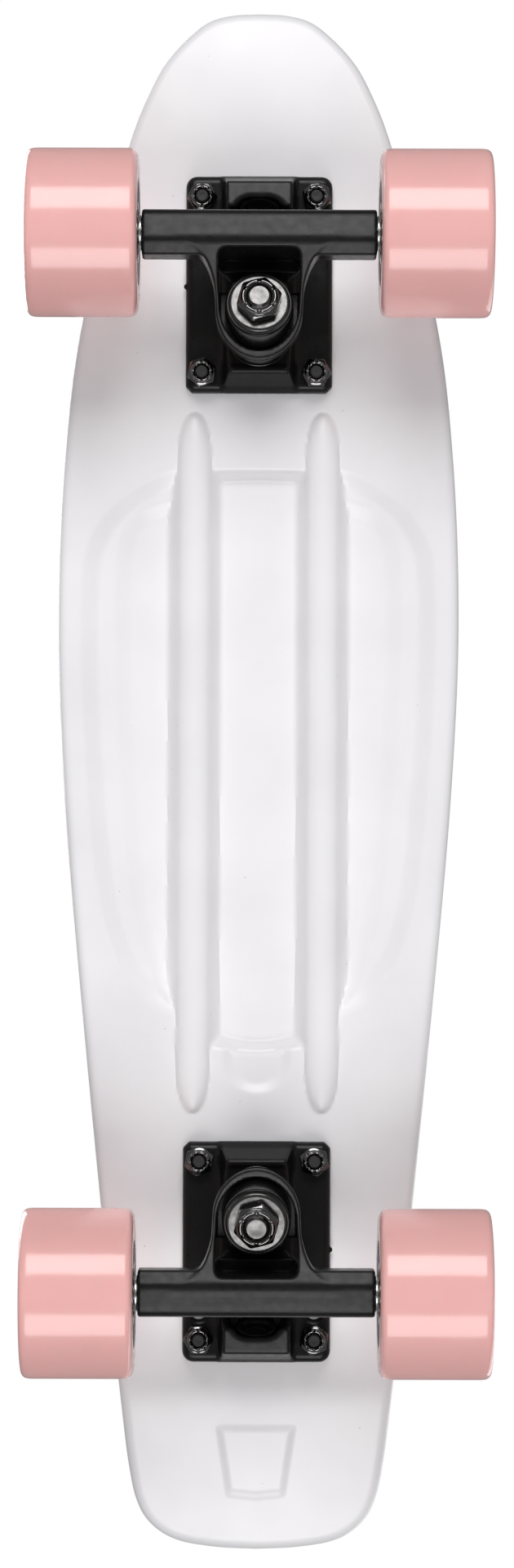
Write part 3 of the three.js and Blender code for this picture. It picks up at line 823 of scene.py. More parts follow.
def bolt_points():
    """The (x, y) of the eight mounting bolts, by name."""
    found = {}
    for truck in TRUCKS:
        for along in ("inboard", "outboard"):
            for side in SIDES:
                name = f"{truck}_{along}_{side}_bolt"
                low, high = box_mm(name)
                found[name] = (low[:2] + high[:2]) / 2
    return found


def grip_pads():
    """A waffle of low pads over the deck's top, clear of its edge and of the bolts."""
    reach = int(DECK_HALF_LENGTH / GRIP_PITCH)
    width = int(DECK_HIGH[1] / GRIP_ROW)
    along, across = np.meshgrid(np.arange(-reach, reach + 1), np.arange(-width, width + 1))
    x = ((along + (np.abs(across) % 2) / 2) * GRIP_PITCH).ravel()
    y = (across * GRIP_ROW).ravel()
    clear = polygon_distance(x, y, mirrored_outline(DECK_OUTLINE, 160)) < -GRIP_MARGIN
    for bolt_x, bolt_y in bolt_points().values():
        clear &= np.hypot(x - bolt_x, y - bolt_y) > GRIP_BOLT_CLEARANCE
    return join(*[grip_pad(px, py) for px, py in zip(x[clear], y[clear])])


def grip_pad(x, y):
    """One six-sided pad."""
    angle = np.radians(60 * np.arange(6) + 30)
    points, faces = [], []
    for share, height in GRIP_LEVELS:
        px = x + share * GRIP_PAD_RADIUS * np.cos(angle)
        py = y + share * GRIP_PAD_RADIUS * np.sin(angle)
        pz = UNDERSIDE + DECK_THICKNESS + deck_lift(px) + height
        points.append(np.stack([px, py, pz], -1))
    for level in range(len(GRIP_LEVELS) - 1):
        for k in range(6):
            a, b = level * 6 + k, level * 6 + (k + 1) % 6
            faces.append((a, b, b + 6, a + 6))
    last = 6 * (len(GRIP_LEVELS) - 1)
    faces.append(tuple(range(5, -1, -1)))
    faces.append(tuple(range(last, last + 6)))
    return np.concatenate(points), faces


piece("deck_moulding", join(deck_moulding(), grip_pads()), "deck", "white_plastic", "deck", sharp=50)

# ------------------------------------------------------------------ truck axes

KINGPIN_TILT = math.radians(12)  # the nut end leans outboard
KINGPIN_FOOT_U = -21.4
KINGPIN_DIRECTION = np.array([math.sin(KINGPIN_TILT), math.cos(KINGPIN_TILT)])
STEER_CUP = np.array([24.5, 11.2])
STEER_RING_AT = 26.75  # middle of the hanger's ring, along the kingpin
STEER_RING = np.array([KINGPIN_FOOT_U, 0]) + STEER_RING_AT * KINGPIN_DIRECTION
STEER_DIRECTION = (STEER_RING - STEER_CUP) / np.linalg.norm(STEER_RING - STEER_CUP)
PLATFORM_AT = 10.5
RING_LOW_AT = 24.0
RING_HIGH_AT = 29.5
CUP_WASHER_AT = 43.6
KINGPIN_NUT_AT = 45.0
KINGPIN_END_AT = 51.8
KINGPIN_FLATS = 14.3  # across the flats of the kingpin's head and of its nut
KINGPIN_RADIUS = 4.72
TRUCK_STEP = 0.5  # cell size of the cast parts' surfaces


def kingpin_axes(u, w):
    """(distance along the kingpin, distance outboard of it) of points in the u-w plane."""
    du = u - KINGPIN_FOOT_U
    along = du * KINGPIN_DIRECTION[0] + w * KINGPIN_DIRECTION[1]
    return along, du * KINGPIN_DIRECTION[1] - w * KINGPIN_DIRECTION[0]


def steering_axes(u, w):
    """(distance from the cup's mouth towards the ring, distance off the axis, away from the deck)."""
    du, dw = u - STEER_CUP[0], w - STEER_CUP[1]
    along = du * STEER_DIRECTION[0] + dw * STEER_DIRECTION[1]
    return along, du * STEER_DIRECTION[1] - dw * STEER_DIRECTION[0]


def along_kingpin(shape):
    """A shape whose z runs along the kingpin from its foot, in truck axes."""
    return along_axis(shape, (KINGPIN_FOOT_U, 0), KINGPIN_DIRECTION)


def along_steering(shape):
    """A shape whose z runs inboard along the steering axis from the cup's mouth."""
    return along_axis(shape, STEER_CUP, STEER_DIRECTION)


def along_axis(shape, foot, direction):
    points, faces = shape
    p = np.asarray(points, float)
    u = foot[0] + p[:, 2] * direction[0] + p[:, 0] * direction[1]
    w = foot[1] + p[:, 2] * direction[1] - p[:, 0] * direction[0]
    return np.stack([u, p[:, 1], w], -1), flipped(faces)


# ------------------------------------------------------------------ base plates

PLATE_HALF_LENGTH = 38.5
PLATE_OUTBOARD = 40.2
PLATE_HALF_WIDTH = 26.5
PLATE_THICKNESS = 5.0
PLATE_CHAMFER = 2.2
PLATE_CORNER = 4.0
PLATE_BEVEL = 1.7
BOLT_U = 31.75
BOLT_V = 20.64
SPARE_HOLE_U = 22.2
SPARE_HOLE_RADIUS = 2.75
SPINE_PROFILE = [
    (-38.3, 3, 0),
    (-32.4, 13.9, 1.2),
    (-30.6, 13.7, 0.8),
    (-29.6, 12.5, 0.8),
    (-8, 8.1, 2),
    (-4, 6.6, 2),
    (16, 6.6, 3),
    (21.7, 5.4, 2),
    (26.5, 19.4, 1.0),
    (35.8, 17.6, 1.0),
    (39.6, 3.2, 0),
]
SPINE_FOOT_HALF_WIDTH = 13.0
SPINE_TAPER = 0.25
HOUSING_TAPER = 0.08
HOUSING_FROM_U = 16.0
HOUSING_TOP = ((35.8, 17.6), (26.5, 19.4))
POCKET_HALF_WIDTH = 9.4
POCKET_FROM_U = 10.0
POCKET_TO_U = 29.6
POCKET_CORNER = 6.5
POCKET_DEPTH = 3.5
POCKET_FLOOR = 6.9
POCKET_LIP = 1.6  # width of the dished lip round the pocket
POCKET_LIP_TILT = math.radians(21)
CUP_SOCKET_RADIUS = 7.4
CUP_SOCKET_DEPTH = 9.0
CUP_MOUTH_AT = -2.4
KINGPIN_BORE_RADIUS = 5.1
HEAD_POCKET_RADIUS = 9.2
HEAD_POCKET_DEPTH = 7
GATE_MARK_RADIUS = 0.9


def plate_outline():
    """The plate's (u, v) outline: chamfered inboard corners, round outboard ones."""
    length, width = PLATE_HALF_LENGTH, PLATE_HALF_WIDTH
    right = [(-length, 0), (-length, width - PLATE_CHAMFER), (-length + PLATE_CHAMFER, width)]
    for angle in np.radians(np.linspace(90, 0, 7)):
        u = PLATE_OUTBOARD - PLATE_CORNER + PLATE_CORNER * math.cos(angle)
        right.append((u, width - PLATE_CORNER + PLATE_CORNER * math.sin(angle)))
    return right + [(u, -v) for u, v in right[:0:-1]]


def rounded_box(x, y, half_x, half_y, corner):
    dx, dy = np.abs(x) - half_x + corner, np.abs(y) - half_y + corner
    return np.hypot(np.maximum(dx, 0), np.maximum(dy, 0)) + np.minimum(np.maximum(dx, dy), 0) - corner


def base_plate_surface():
    low = (-PLATE_HALF_LENGTH - 1.5, -PLATE_HALF_WIDTH - 2, -1)
    u, v, w = grid(low, (PLATE_OUTBOARD + 1.5, PLATE_HALF_WIDTH + 2, 21), TRUCK_STEP)
    outline = polygon_distance(u, v, plate_outline())
    middle = (GAP + PLATE_THICKNESS) / 2
    field = bounded(outline, np.abs(w - middle) - (PLATE_THICKNESS - GAP) / 2, 0.3)
    bevel = (outline + w - PLATE_THICKNESS + PLATE_BEVEL) / math.sqrt(2)
    field = common(field, bevel, 0.8)
    taper = SPINE_TAPER + (HOUSING_TAPER - SPINE_TAPER) * smoothstep((u - HOUSING_FROM_U) / 6)
    spine_side = (np.abs(v) - SPINE_FOOT_HALF_WIDTH + taper * (w - PLATE_THICKNESS)) * 0.97
    spine = common(polygon_distance(u, w, filleted(SPINE_PROFILE)), spine_side, 1.1)
    field = merged(field, spine, 1.6)
    field = common(field, GAP - w, 0.2)
    field = cut_pocket(field, u, v, w)
    along, off = kingpin_axes(u, w)
    field = np.maximum(field, -np.maximum(np.hypot(off, v) - KINGPIN_BORE_RADIUS, -along))
    head_pocket = np.maximum(np.hypot(off, v) - HEAD_POCKET_RADIUS, along - HEAD_POCKET_DEPTH)
    field = np.maximum(field, -head_pocket)
    for hole_v in (-BOLT_V, BOLT_V):
        spare = np.hypot(u - SPARE_HOLE_U, v - hole_v)
        sunk = (spare - SPARE_HOLE_RADIUS - 1.3 + (PLATE_THICKNESS - w)) / math.sqrt(2)
        sunk = np.maximum(sunk, w - PLATE_THICKNESS - 1)
        field = cut(field, np.minimum(spare - SPARE_HOLE_RADIUS, sunk), 0.5)
        for hole_u in (-BOLT_U, BOLT_U):
            field = np.maximum(field, SPARE_HOLE_RADIUS - np.hypot(u - hole_u, v - hole_v))
    mark = np.sqrt(u**2 + (v + PLATE_HALF_WIDTH) ** 2 + (w - 3) ** 2) - GATE_MARK_RADIUS
    return surface(merged(field, mark, 0.6), low, TRUCK_STEP)


def cut_pocket(field, u, v, w):
    """The round-cornered pocket round the pivot cup, and the cup's own socket."""
    along, off = steering_axes(u, w)
    centre = (POCKET_TO_U + POCKET_FROM_U) / 2
    half = (POCKET_TO_U - POCKET_FROM_U) / 2
    outline = rounded_box(u - centre, v, half, POCKET_HALF_WIDTH, POCKET_CORNER)
    pocket = np.maximum(outline, np.maximum(-along - POCKET_DEPTH, POCKET_FLOOR - w))
    field = cut(field, pocket, 0.8)
    depth = half_plane(u, w, *HOUSING_TOP)
    lip = depth * math.cos(POCKET_LIP_TILT) + (outline - POCKET_LIP) * math.sin(POCKET_LIP_TILT)
    field = cut(field, np.maximum(lip, HOUSING_FROM_U - u), 0.3)
    socket = np.maximum(np.hypot(off, v) - CUP_SOCKET_RADIUS, -along - CUP_SOCKET_DEPTH)
    return np.maximum(field, -socket)


# ------------------------------------------------------------------ hangers

RING_CENTRE_U = -14.3
RING_OUTER = 16.2
RING_INNER = 13.3
RING_HOLE = 7.5
ARM_HALF_WIDTH = 15.4
# (u, how much wider than the ring the arms are there)
ARM_FLARE = [(-14.3, 0), (-7, 0.45), (-1.7, 1.9), (2, 3.6), (5.5, 6.6), (7.6, 9.8), (9, 14)]
WINDOW_HALF_WIDTH = 14.0
WINDOW_SPREAD = 0.4
WINDOW_EDGE_U = 6.1
WINDOW_CORNER = 1.8
AXLE_BORE = 4.3
PIVOT_RADIUS = 4.6
PIVOT_DEPTH = 5.2
PIVOT_ROOT_AT = 12  # where the pivot's stem ends inside the hanger
COLLAR_RADIUS = 6.6
COLLAR_SPREAD = 0.28  # how fast the pivot's collar widens towards the hanger
COLLAR_FROM = 4.2
COLLAR_TO = 14
WEB_HALF_WIDTH = 11.0
WEB_SPREAD = 4.5  # how much wider the web is where it floors the window
BEAM_PROFILE = [
    (3.5, 39.5, 1),
    (3.5, 51.4, 0.5),
    (8.4, 54.3, 0.7),
    (17.6, 52.4, 2.4),
    (20, 49.8, 2.4),
    (20, 39.5, 2),
    (18, 37.5, 1),
    (6, 37.5, 1),
]
WEB_PROFILE = [
    (-2, 20.5, 1),
    (3, 27, 2),
    (6.2, 44, 1),
    (18, 42, 1),
    (18, 26, 4),
    (16.2, 18, 3),
    (10, 13, 1),
    (4, 15.5, 1),
]
CREST_ROUNDING = 1.6
YOKE_TOP = ((-31, 34), (8.4, 54))
BEAM_FACE = ((8.4, 54.0), (17.6, 52.05))
YOKE_UNDER = ((-14, 18.5), (4, 36))


def oval(out, v, length, width):
    """Distance-like field of a half oval that runs on, at full width, on its outboard side."""
    across = np.abs(v) - width
    radial = np.hypot(out / length, v / width)
    slope = np.hypot(out / length**2, v / width**2) / np.maximum(radial, 0.05)
    return np.where(out < 0, (radial - 1) / np.maximum(slope, 0.02), across)


def arm_flare(u):
    """How much wider than the ring the arms are at u, and the slope of that curve."""
    curve = spline(ARM_FLARE, 160)
    flare = np.interp(u, curve[:, 0], curve[:, 1])
    return flare, np.interp(u, curve[:, 0], np.gradient(curve[:, 1], curve[:, 0]))


def yoke_field(u, v, w):
    """The ring and the two arms, before the window and the ring's hole are cut."""
    along, out = kingpin_axes(u, w)
    flare, slope = arm_flare(u)
    side = (oval(u - RING_CENTRE_U, v, RING_OUTER, ARM_HALF_WIDTH) - flare) / np.hypot(1, slope)
    side = common(side, RING_LOW_AT - along, 0.9)
    under = half_plane(u, w, *YOKE_UNDER[::-1])
    side = np.where(out > 0, np.maximum(side, under), side)
    return np.maximum(side, u - 12)


def window_field(u, v, w):
    """The hollow inside the yoke, open towards the floor."""
    along, out = kingpin_axes(u, w)
    spread = WINDOW_SPREAD * smoothstep((u - RING_CENTRE_U) / 12)
    side = oval(out, v, RING_INNER, WINDOW_HALF_WIDTH) - spread
    return np.maximum(common(side, u - WINDOW_EDGE_U, WINDOW_CORNER * 2), RING_HIGH_AT - along)


def hanger_surface():
    low = (-34, -HANGER_HALF_LENGTH - 1, 7)
    u, v, w = grid(low, (22, HANGER_HALF_LENGTH + 1, 56), TRUCK_STEP)
    beam = bounded(polygon_distance(u, w, filleted(BEAM_PROFILE)), np.abs(v) - HANGER_HALF_LENGTH, 0.7)
    web_side = np.abs(v) - WEB_HALF_WIDTH - WEB_SPREAD * smoothstep((w - 18) / 8)
    web = common(polygon_distance(u, w, filleted(WEB_PROFILE)), web_side, 3)
    field = merged(yoke_field(u, v, w), beam, 1.2)
    face = -half_plane(u, w, *BEAM_FACE[::-1])
    top = common(-half_plane(u, w, *YOKE_TOP[::-1]), face, CREST_ROUNDING)
    field = common(merged(field, web, 3), top, 0.9)
    field = cut(field, window_field(u, v, w), 0.7)
    along, out = kingpin_axes(u, w)
    field = cut(field, np.hypot(out, v) - RING_HOLE, 0.8)
    along, off = steering_axes(u, w)
    off = np.hypot(off, v)
    stem = np.maximum(off - PIVOT_RADIUS, np.maximum(-along - PIVOT_DEPTH, along - PIVOT_ROOT_AT))
    cone = off - COLLAR_RADIUS - COLLAR_SPREAD * (along - 6)
    collar = np.maximum(cone, np.maximum(COLLAR_FROM - along, along - COLLAR_TO))
    field = merged(merged(field, collar, 2.5), stem, 1.0)
    bore = np.hypot(u - AXLE_U, w - AXLE_DROP) - AXLE_BORE
    return surface(np.maximum(field, -bore), low, TRUCK_STEP)


# ------------------------------------------------------------------ turned truck parts


def ring_profile(inner, outer, low, high, edge=0.4):
    return filleted([(inner, low, edge), (outer, low, edge), (outer, high, edge), (inner, high, edge)], 4)


def bushing(low, high, foot, middle, top, sides=72):
    """A moulded bushing: radii at its foot, its middle and its top."""
    centre = (low + high) / 2
    corners = [
        (5.2, low, 0.3),
        (foot, low, 0.9),
        (middle, centre, 2.5),
        (top, high, 0.9),
        (5.2, high, 0.3),
    ]
    return turned(filleted(corners, 6), sides)


def cup_washer():
    """A pressed washer: a flat face with a lip turned back over the bushing."""
    low, high = CUP_WASHER_AT, KINGPIN_NUT_AT - GAP
    corners = [
        (5.2, low + 0.1, 0),
        (9.9, low + 0.1, 0.3),
        (10.5, low - 0.1, 0.2),
        (10.9, low, 0.2),
        (10.8, high - 0.5, 0.5),
        (10.0, high, 0.6),
        (5.2, high, 0),
    ]
    return turned(filleted(corners, 5), 96)


def pivot_cup():
    outer, bore = CUP_SOCKET_RADIUS - GAP, PIVOT_RADIUS + 0.35
    corners = [
        (0.01, -8.3, 0),
        (outer, -8.3, 0.4),
        (outer, CUP_MOUTH_AT, 0.5),
        (bore + 0.6, CUP_MOUTH_AT, 0.5),
        (bore, CUP_MOUTH_AT - 0.9, 0.4),
        (bore, -5.5, 0.6),
        (0.01, -6.4, 0),
    ]
    return turned(filleted(corners, 5), 64)


# ------------------------------------------------------------------ nuts and threads


def hex_radius(flats, angle):
    """Distance from a hexagon's middle to its edge, corners slightly rounded."""
    turn = (angle + math.pi / 6) % (math.pi / 3) - math.pi / 6
    return np.minimum(flats / 2 / np.cos(turn), flats / math.sqrt(3) * 0.985)


def notch(angle, count, width):
    """1 in the middle of each of count notches round the circle, falling to 0 at their edges."""
    turn = np.abs((angle * count / (2 * math.pi) + 0.5) % 1 - 0.5) * 2 * math.pi / count
    return 1 - smoothstep(turn / width)


def lock_nut(flats, bore, hex_height, collar, height, notches, turn=0.0, sides=144):
    """A hexagon with chamfered corners and a crimped collar on its outer end."""
    angle = circle(sides)
    flat = hex_radius(flats, angle + turn)
    dents = notch(angle, notches, 0.16)
    rim = flats / 2 * 0.97
    rings, heights = [], []

    def ring(radius, z):
        rings.append(np.broadcast_to(radius, angle.shape))
        heights.append(np.broadcast_to(z, angle.shape))

    ring(bore, 0)
    ring(rim, 0)
    ring(np.minimum(flat, rim + 0.5), 0.25)
    ring(flat - 0.08, 0.7)
    ring(flat, 0.95)
    for share in np.linspace(0, 1, 5):
        z = hex_height - 0.55 * (1 - share) * (flats / 9.5)
        ring(np.minimum(flat, rim + (flats * 0.09) * (1 - share)), z)
    ring(collar + 0.25, hex_height + 0.05)
    ring(collar + 0.02, hex_height + 0.3)
    wall = height - hex_height
    dented = collar - 0.42 * dents
    ring(dented, hex_height + wall * 0.62)
    ring(dented - 0.14, hex_height + wall * 0.86 - 0.25 * dents)
    ring(dented - 0.42, height - 0.35 * dents)
    ring(collar - 0.85, height - 0.3 * dents)
    ring(collar - 1.15, height - 0.3)
    ring(bore + 0.25, height - 0.75)
    ring(bore, height - 1.0)
    return polar(np.array(rings), np.array(heights))


def threaded_rod(radius, low, high, pitch=0.8, depth=0.22, dome=0.25, sides=36, tip=0.8):
    """A rod with a helical thread and, at high, a chamfer down to a dished end tip times as wide."""
    angle = circle(sides)
    chamfer = (1 - tip) * radius
    z = np.arange(low, high - chamfer - 0.1, pitch / 6)
    phase = (z[:, None] / pitch - angle / (2 * math.pi)) % 1
    radii = radius - depth * np.abs(2 * phase - 1)
    caps_low = np.full((1, sides), 0.01)
    end = np.array([radius - 0.12, radius * tip, radius * (tip - 0.06), radius * 0.45, 0.01])
    rows = np.vstack([caps_low, radii, np.repeat(end[:, None], sides, axis=1)])
    top = [high - chamfer, high - 0.02, high, high - dome * 0.7, high - dome]
    heights = np.concatenate([[low], z, top])
    return polar(rows, heights)


def kingpin():
    """A hexagon head in the base plate and a rod, threaded all along, with a chamfered end."""
    head = polar(*hex_prism_rings(KINGPIN_FLATS, 2.4, 6.8))
    thread = dict(pitch=1.25, depth=0.3, dome=0.12, sides=48, tip=0.72)
    return join(head, threaded_rod(KINGPIN_RADIUS, 6.0, KINGPIN_END_AT, **thread))


def hex_prism_rings(flats, low, high, sides=96):
    flat = hex_radius(flats, circle(sides))
    rim = flats / 2 * 0.97
    half = [np.full(sides, 0.01), np.full(sides, rim), flat]
    return np.array(half + half[::-1]), np.array([low, low, low + 0.5, high - 0.5, high, high])


# ------------------------------------------------------------------ mounting bolts

BOLT_LENGTH = 22.2
BOLT_RADIUS = 2.38
BOLT_HEAD_RADIUS = 4.7
BOLT_HEAD_HEIGHT = 2.5
CORNER_NUT_HEIGHT = 6.0
CORNER_NUT_FLATS = 9.5


def bolt_head():
    """A countersunk head, flush with the deck's top, with a cross recess. z runs down from its face."""
    sides = 96
    angle = circle(sides)
    arm = np.minimum(np.abs(np.cos(angle)), np.abs(np.sin(angle)))
    cross = np.clip(0.42 / np.maximum(arm, 0.02), 0.55, 2.3)
    rows = [
        (np.full(sides, 0.01), 1.3),
        (cross * 0.45, 1.25),
        (cross, 0.12),
        (cross + 0.12, 0.0),
        (np.full(sides, BOLT_HEAD_RADIUS - 0.25), 0.0),
        (np.full(sides, BOLT_HEAD_RADIUS), 0.25),
        (np.full(sides, 2.4), BOLT_HEAD_HEIGHT),
        (np.full(sides, 0.01), BOLT_HEAD_HEIGHT + 0.2),
    ]
    return polar(np.array([r for r, _ in rows]), np.array([h for _, h in rows]))


def hardware_point(x, y, shape):
    """A shape whose z runs down from the deck's underside, placed at a bolt."""
    points, faces = shape
    p = np.asarray(points, float)
    placed = np.stack([x + p[:, 0], y + p[:, 1], UNDERSIDE - p[:, 2]], -1)
    return placed, flipped(faces)


def add_mounting_hardware():
    top = -DECK_THICKNESS + GAP
    for index, (name, (x, y)) in enumerate(bolt_points().items()):
        shank = threaded_rod(BOLT_RADIUS, top + 1.4, top + BOLT_LENGTH, dome=0.1)
        bolt = join(shank, moved(bolt_head(), z=top))
        placed = hardware_point(x, y, bolt)
        piece(name + "_body", placed, "deck", "black_steel", name, material="black_oxide")
        nut = lock_nut(CORNER_NUT_FLATS, 2.7, 4.3, 3.95, CORNER_NUT_HEIGHT, 8, turn=0.35 * index)
        nut = moved(nut, z=PLATE_THICKNESS + GAP)
        name = name + "_nut"
        piece(name + "_body", hardware_point(x, y, nut), "deck", "black_steel", name, sharp=50)


# ------------------------------------------------------------------ axles and wheels

SPEED_WASHER_RADIUS = 6.3
CORE_RADIUS = 19.0
BEARING_RADIUS = 11.0
BEARING_WIDTH = 7.0
INNER_BEARING_AT = 0.2
OUTER_BEARING_AT = 17.2
AXLE_NUT_AT = OUTER_BEARING_AT + BEARING_WIDTH + 1.2
AXLE_NUT_HEIGHT = 7.6
AXLE_NUT_FLATS = 12.7
AXLE_HOLE = 4.1  # bore radius of what sits on the axle
THREAD_FROM = 62  # distance from the board's middle to where an axle's thread starts


def axle():
    """A plain rod with a threaded end past each wheel's outer bearing. z is the board's -Y."""
    half = threaded_rod(3.95, THREAD_FROM, AXLE_HALF_LENGTH, pitch=1.0, depth=0.25, dome=0.15)
    end = THREAD_FROM + 1
    rod = [(0.01, -end, 0), (3.98, -end, 0.3), (3.98, end, 0.3), (0.01, end, 0)]
    middle = turned(filleted(rod, 3), 48)
    points, faces = half
    mirrored = points * np.array([1, 1, -1]), flipped(faces)
    return join(half, mirrored, middle)


def tyre():
    """The urethane: a plain tread, rounded lips and a deep bowl round the outer face."""
    r, w, core = WHEEL_RADIUS, WHEEL_WIDTH, CORE_RADIUS
    corners = [
        (core + GAP, 0.6, 0.3),
        (core + 1.2, 0.05, 0.5),
        (r - 2.6, 0.05, 1.2),
        (r - 0.4, 1.3, 1.4),
        (r, 3.4, 2),
        (r, w - 2.6, 2),
        (r - 0.6, w - 0.9, 1.0),
        (r - 2.4, w, 1.8),
        (core + 3.2, w - 1.6, 3.5),
        (core + 0.8, w - 8, 3),
        (core + GAP, w - 10, 0.6),
    ]
    return turned(filleted(corners, 9), 144)


def wheel_core():
    """The nylon core: two bearing seats, a shoulder between them and a ribbed outer face."""
    seat = BEARING_RADIUS + 0.05
    outer_end = OUTER_BEARING_AT + BEARING_WIDTH
    corners = [
        (seat, 0.25, 0.4),
        (seat + 1.2, 0.1, 0.3),
        (CORE_RADIUS - 0.6, 0.1, 0.5),
        (CORE_RADIUS, 0.9, 0.4),
        (CORE_RADIUS, 29, 0.4),
        (CORE_RADIUS - 1.8, 29, 0.6),
        (CORE_RADIUS - 3.4, outer_end + 0.6, 1.6),
        (seat + 1.0, outer_end + 0.4, 0.4),
        (seat, outer_end + 0.1, 0.3),
        (seat, OUTER_BEARING_AT - GAP, 0),
        (9.2, OUTER_BEARING_AT - GAP, 0.4),
        (9.2, INNER_BEARING_AT + BEARING_WIDTH + GAP, 0.4),
        (seat, INNER_BEARING_AT + BEARING_WIDTH + GAP, 0),
    ]
    return turned(filleted(corners, 5), 96)


def bearing(at):
    """Outer race, inner race and two pressed shields, as one closed profile."""
    low, high = at, at + BEARING_WIDTH
    corners = [
        (AXLE_HOLE, low, 0.3),
        (6.0, low, 0.3),
        (6.1, low + 0.45, 0),
        (9.2, low + 0.45, 0),
        (9.3, low, 0.2),
        (BEARING_RADIUS, low, 0.4),
        (BEARING_RADIUS, high, 0.4),
        (9.3, high, 0.2),
        (9.2, high - 0.45, 0),
        (6.1, high - 0.45, 0),
        (6.0, high, 0.3),
        (AXLE_HOLE, high, 0.3),
    ]
    return turned(filleted(corners, 4), 64)


def add_wheel(truck, side):
    name = f"{truck}_{side}"
    sign = SIDES[side]
    wheel = name + "_wheel"
    hanger = truck + "_hanger"

    def place(part, shape, body, slot, *nodes, **options):
        piece(f"{name}_{part}", on_wheel(truck, sign, shape), body, slot, *nodes, **options)

    place("tyre_body", tyre(), wheel, "pink_urethane", name + "_tyre", sharp=60)
    place("core_body", wheel_core(), wheel, "black_nylon", name + "_wheel_core")
    for which, at in (("inner", INNER_BEARING_AT), ("outer", OUTER_BEARING_AT)):
        place(f"{which}_bearing_body", bearing(at), wheel, "zinc_steel", f"{name}_{which}_bearing")
    spacer = turned(ring_profile(AXLE_HOLE, 5.5, INNER_BEARING_AT + 7.1, OUTER_BEARING_AT - 0.1), 40)
    place("bearing_spacer", spacer, wheel, "zinc_steel")
    washer = turned(ring_profile(AXLE_HOLE, SPEED_WASHER_RADIUS, -0.95, -0.05, 0.2), 64)
    place("speed_washer_body", washer, hanger, "zinc_steel", name + "_speed_washer")
    low, high = AXLE_NUT_AT - 1.1, AXLE_NUT_AT - 0.1
    outer = turned(ring_profile(AXLE_HOLE, SPEED_WASHER_RADIUS, low, high, 0.2), 64)
    place("outer_washer", outer, hanger, "zinc_steel")
    nut = lock_nut(AXLE_NUT_FLATS, AXLE_HOLE, 5.6, 5.4, AXLE_NUT_HEIGHT, 12)
    place("axle_nut_body", moved(nut, z=AXLE_NUT_AT), hanger, "zinc_steel", name + "_axle_nut", sharp=50)
    insert = turned(ring_profile(3.9, 5.0, AXLE_NUT_HEIGHT - 1.6, AXLE_NUT_HEIGHT - 0.5, 0.3), 40)
    place("nut_insert", moved(insert, z=AXLE_NUT_AT), hanger, "black_nylon")


# ------------------------------------------------------------------ trucks


def add_truck(truck, plate, hanger):
    body = truck + "_hanger"

    def place(part, shape, body, slot, *nodes, **options):
        return piece(f"{truck}_{part}", on_truck(truck, shape), body, slot, *nodes, **options)

    place("base_plate_body", plate, "deck", "cast_black", truck + "_base_plate", sharp=None)
    place("hanger_body", hanger, body, "cast_black", truck + "_hanger", sharp=None)
    cup = along_steering(pivot_cup())
    place("pivot_cup_body", cup, "deck", "black_nylon", truck + "_pivot_cup")
    place("kingpin_body", along_kingpin(kingpin()), "deck", "dark_nickel", truck + "_kingpin")
    nut = lock_nut(KINGPIN_FLATS, 4.9, 4.4, 6.3, 6.4, 6, turn=0.26)
    nut = along_kingpin(moved(nut, z=KINGPIN_NUT_AT))
    place("kingpin_nut_body", nut, "deck", "black_steel", truck + "_kingpin_nut", sharp=50)
    insert = turned(ring_profile(4.75, 5.0, 4.6, 5.5, 0.2), 64)
    insert = along_kingpin(moved(insert, z=KINGPIN_NUT_AT))
    place("kingpin_nut_insert", insert, "deck", "black_nylon")
    washer = along_kingpin(cup_washer())
    place("cup_washer_body", washer, "deck", "dark_nickel", truck + "_cup_washer")
    lower = turned(ring_profile(5.2, 11.6, PLATFORM_AT + 0.1, PLATFORM_AT + 1.1), 80)
    place("lower_washer", along_kingpin(lower), "deck", "dark_nickel")
    add_bushings(truck)
    points, faces = axle()
    laid = np.stack([AXLE_U + points[:, 0], points[:, 2], AXLE_DROP + points[:, 1]], -1)
    place("axle_body", (laid, flipped(faces)), body, "zinc_steel", truck + "_axle")


def add_bushings(truck):
    """Each bushing runs from its clamped end to the hanger's ring; it is built in place and rides on no
    body.
    """
    ends = {
        "lower": (PLATFORM_AT + 1.2, RING_LOW_AT - GAP, 11.6, 12.5, 11.6),
        "upper": (CUP_WASHER_AT - GAP, RING_HIGH_AT + GAP, 12.0, 12.2, 12.3),
    }
    for which, (fixed, moving, *radii) in ends.items():
        low, high = min(fixed, moving), max(fixed, moving)
        if which == "upper":
            radii = radii[::-1]
        shape = on_truck(truck, along_kingpin(bushing(low, high, *radii)))
        name = f"{truck}_{which}_bushing"
        made = piece(name + "_body", shape, None, "bushing_urethane", name)
        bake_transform(made)


plate_shape = base_plate_surface()
hanger_shape = hanger_surface()
for truck_name in TRUCKS:
    add_truck(truck_name, plate_shape, hanger_shape)
    for side_name in SIDES:
        add_wheel(truck_name, side_name)
add_mounting_hardware()


# ------------------------------------------------------------------ stage, lights and camera

CAMERA_DISTANCE = 1450.0
CAMERA_TILT = math.radians(2.2)
CAMERA_LENS = 92.3
CAMERA_ROLL = -0.003
AIM = Vector((-2.77, -0.27, UNDERSIDE)) * MM
WORLD_LIGHT = 0.24
SIDE_LAMP = (2.2, -0.5)  # metres out to the side, and height


def aim(thing, target, up):
    """Turns a camera or lamp to face target, with its own +Y nearest to up."""
    back = (thing.location - target).normalized()
    right = up.cross(back).normalized()
    above = back.cross(right)
    matrix = thing.matrix_world.to_3x3()
    for row in range(3):
        matrix[row][0], matrix[row][1], matrix[row][2] = right[row], above[row], back[row]
    thing.rotation_euler = matrix.to_euler()


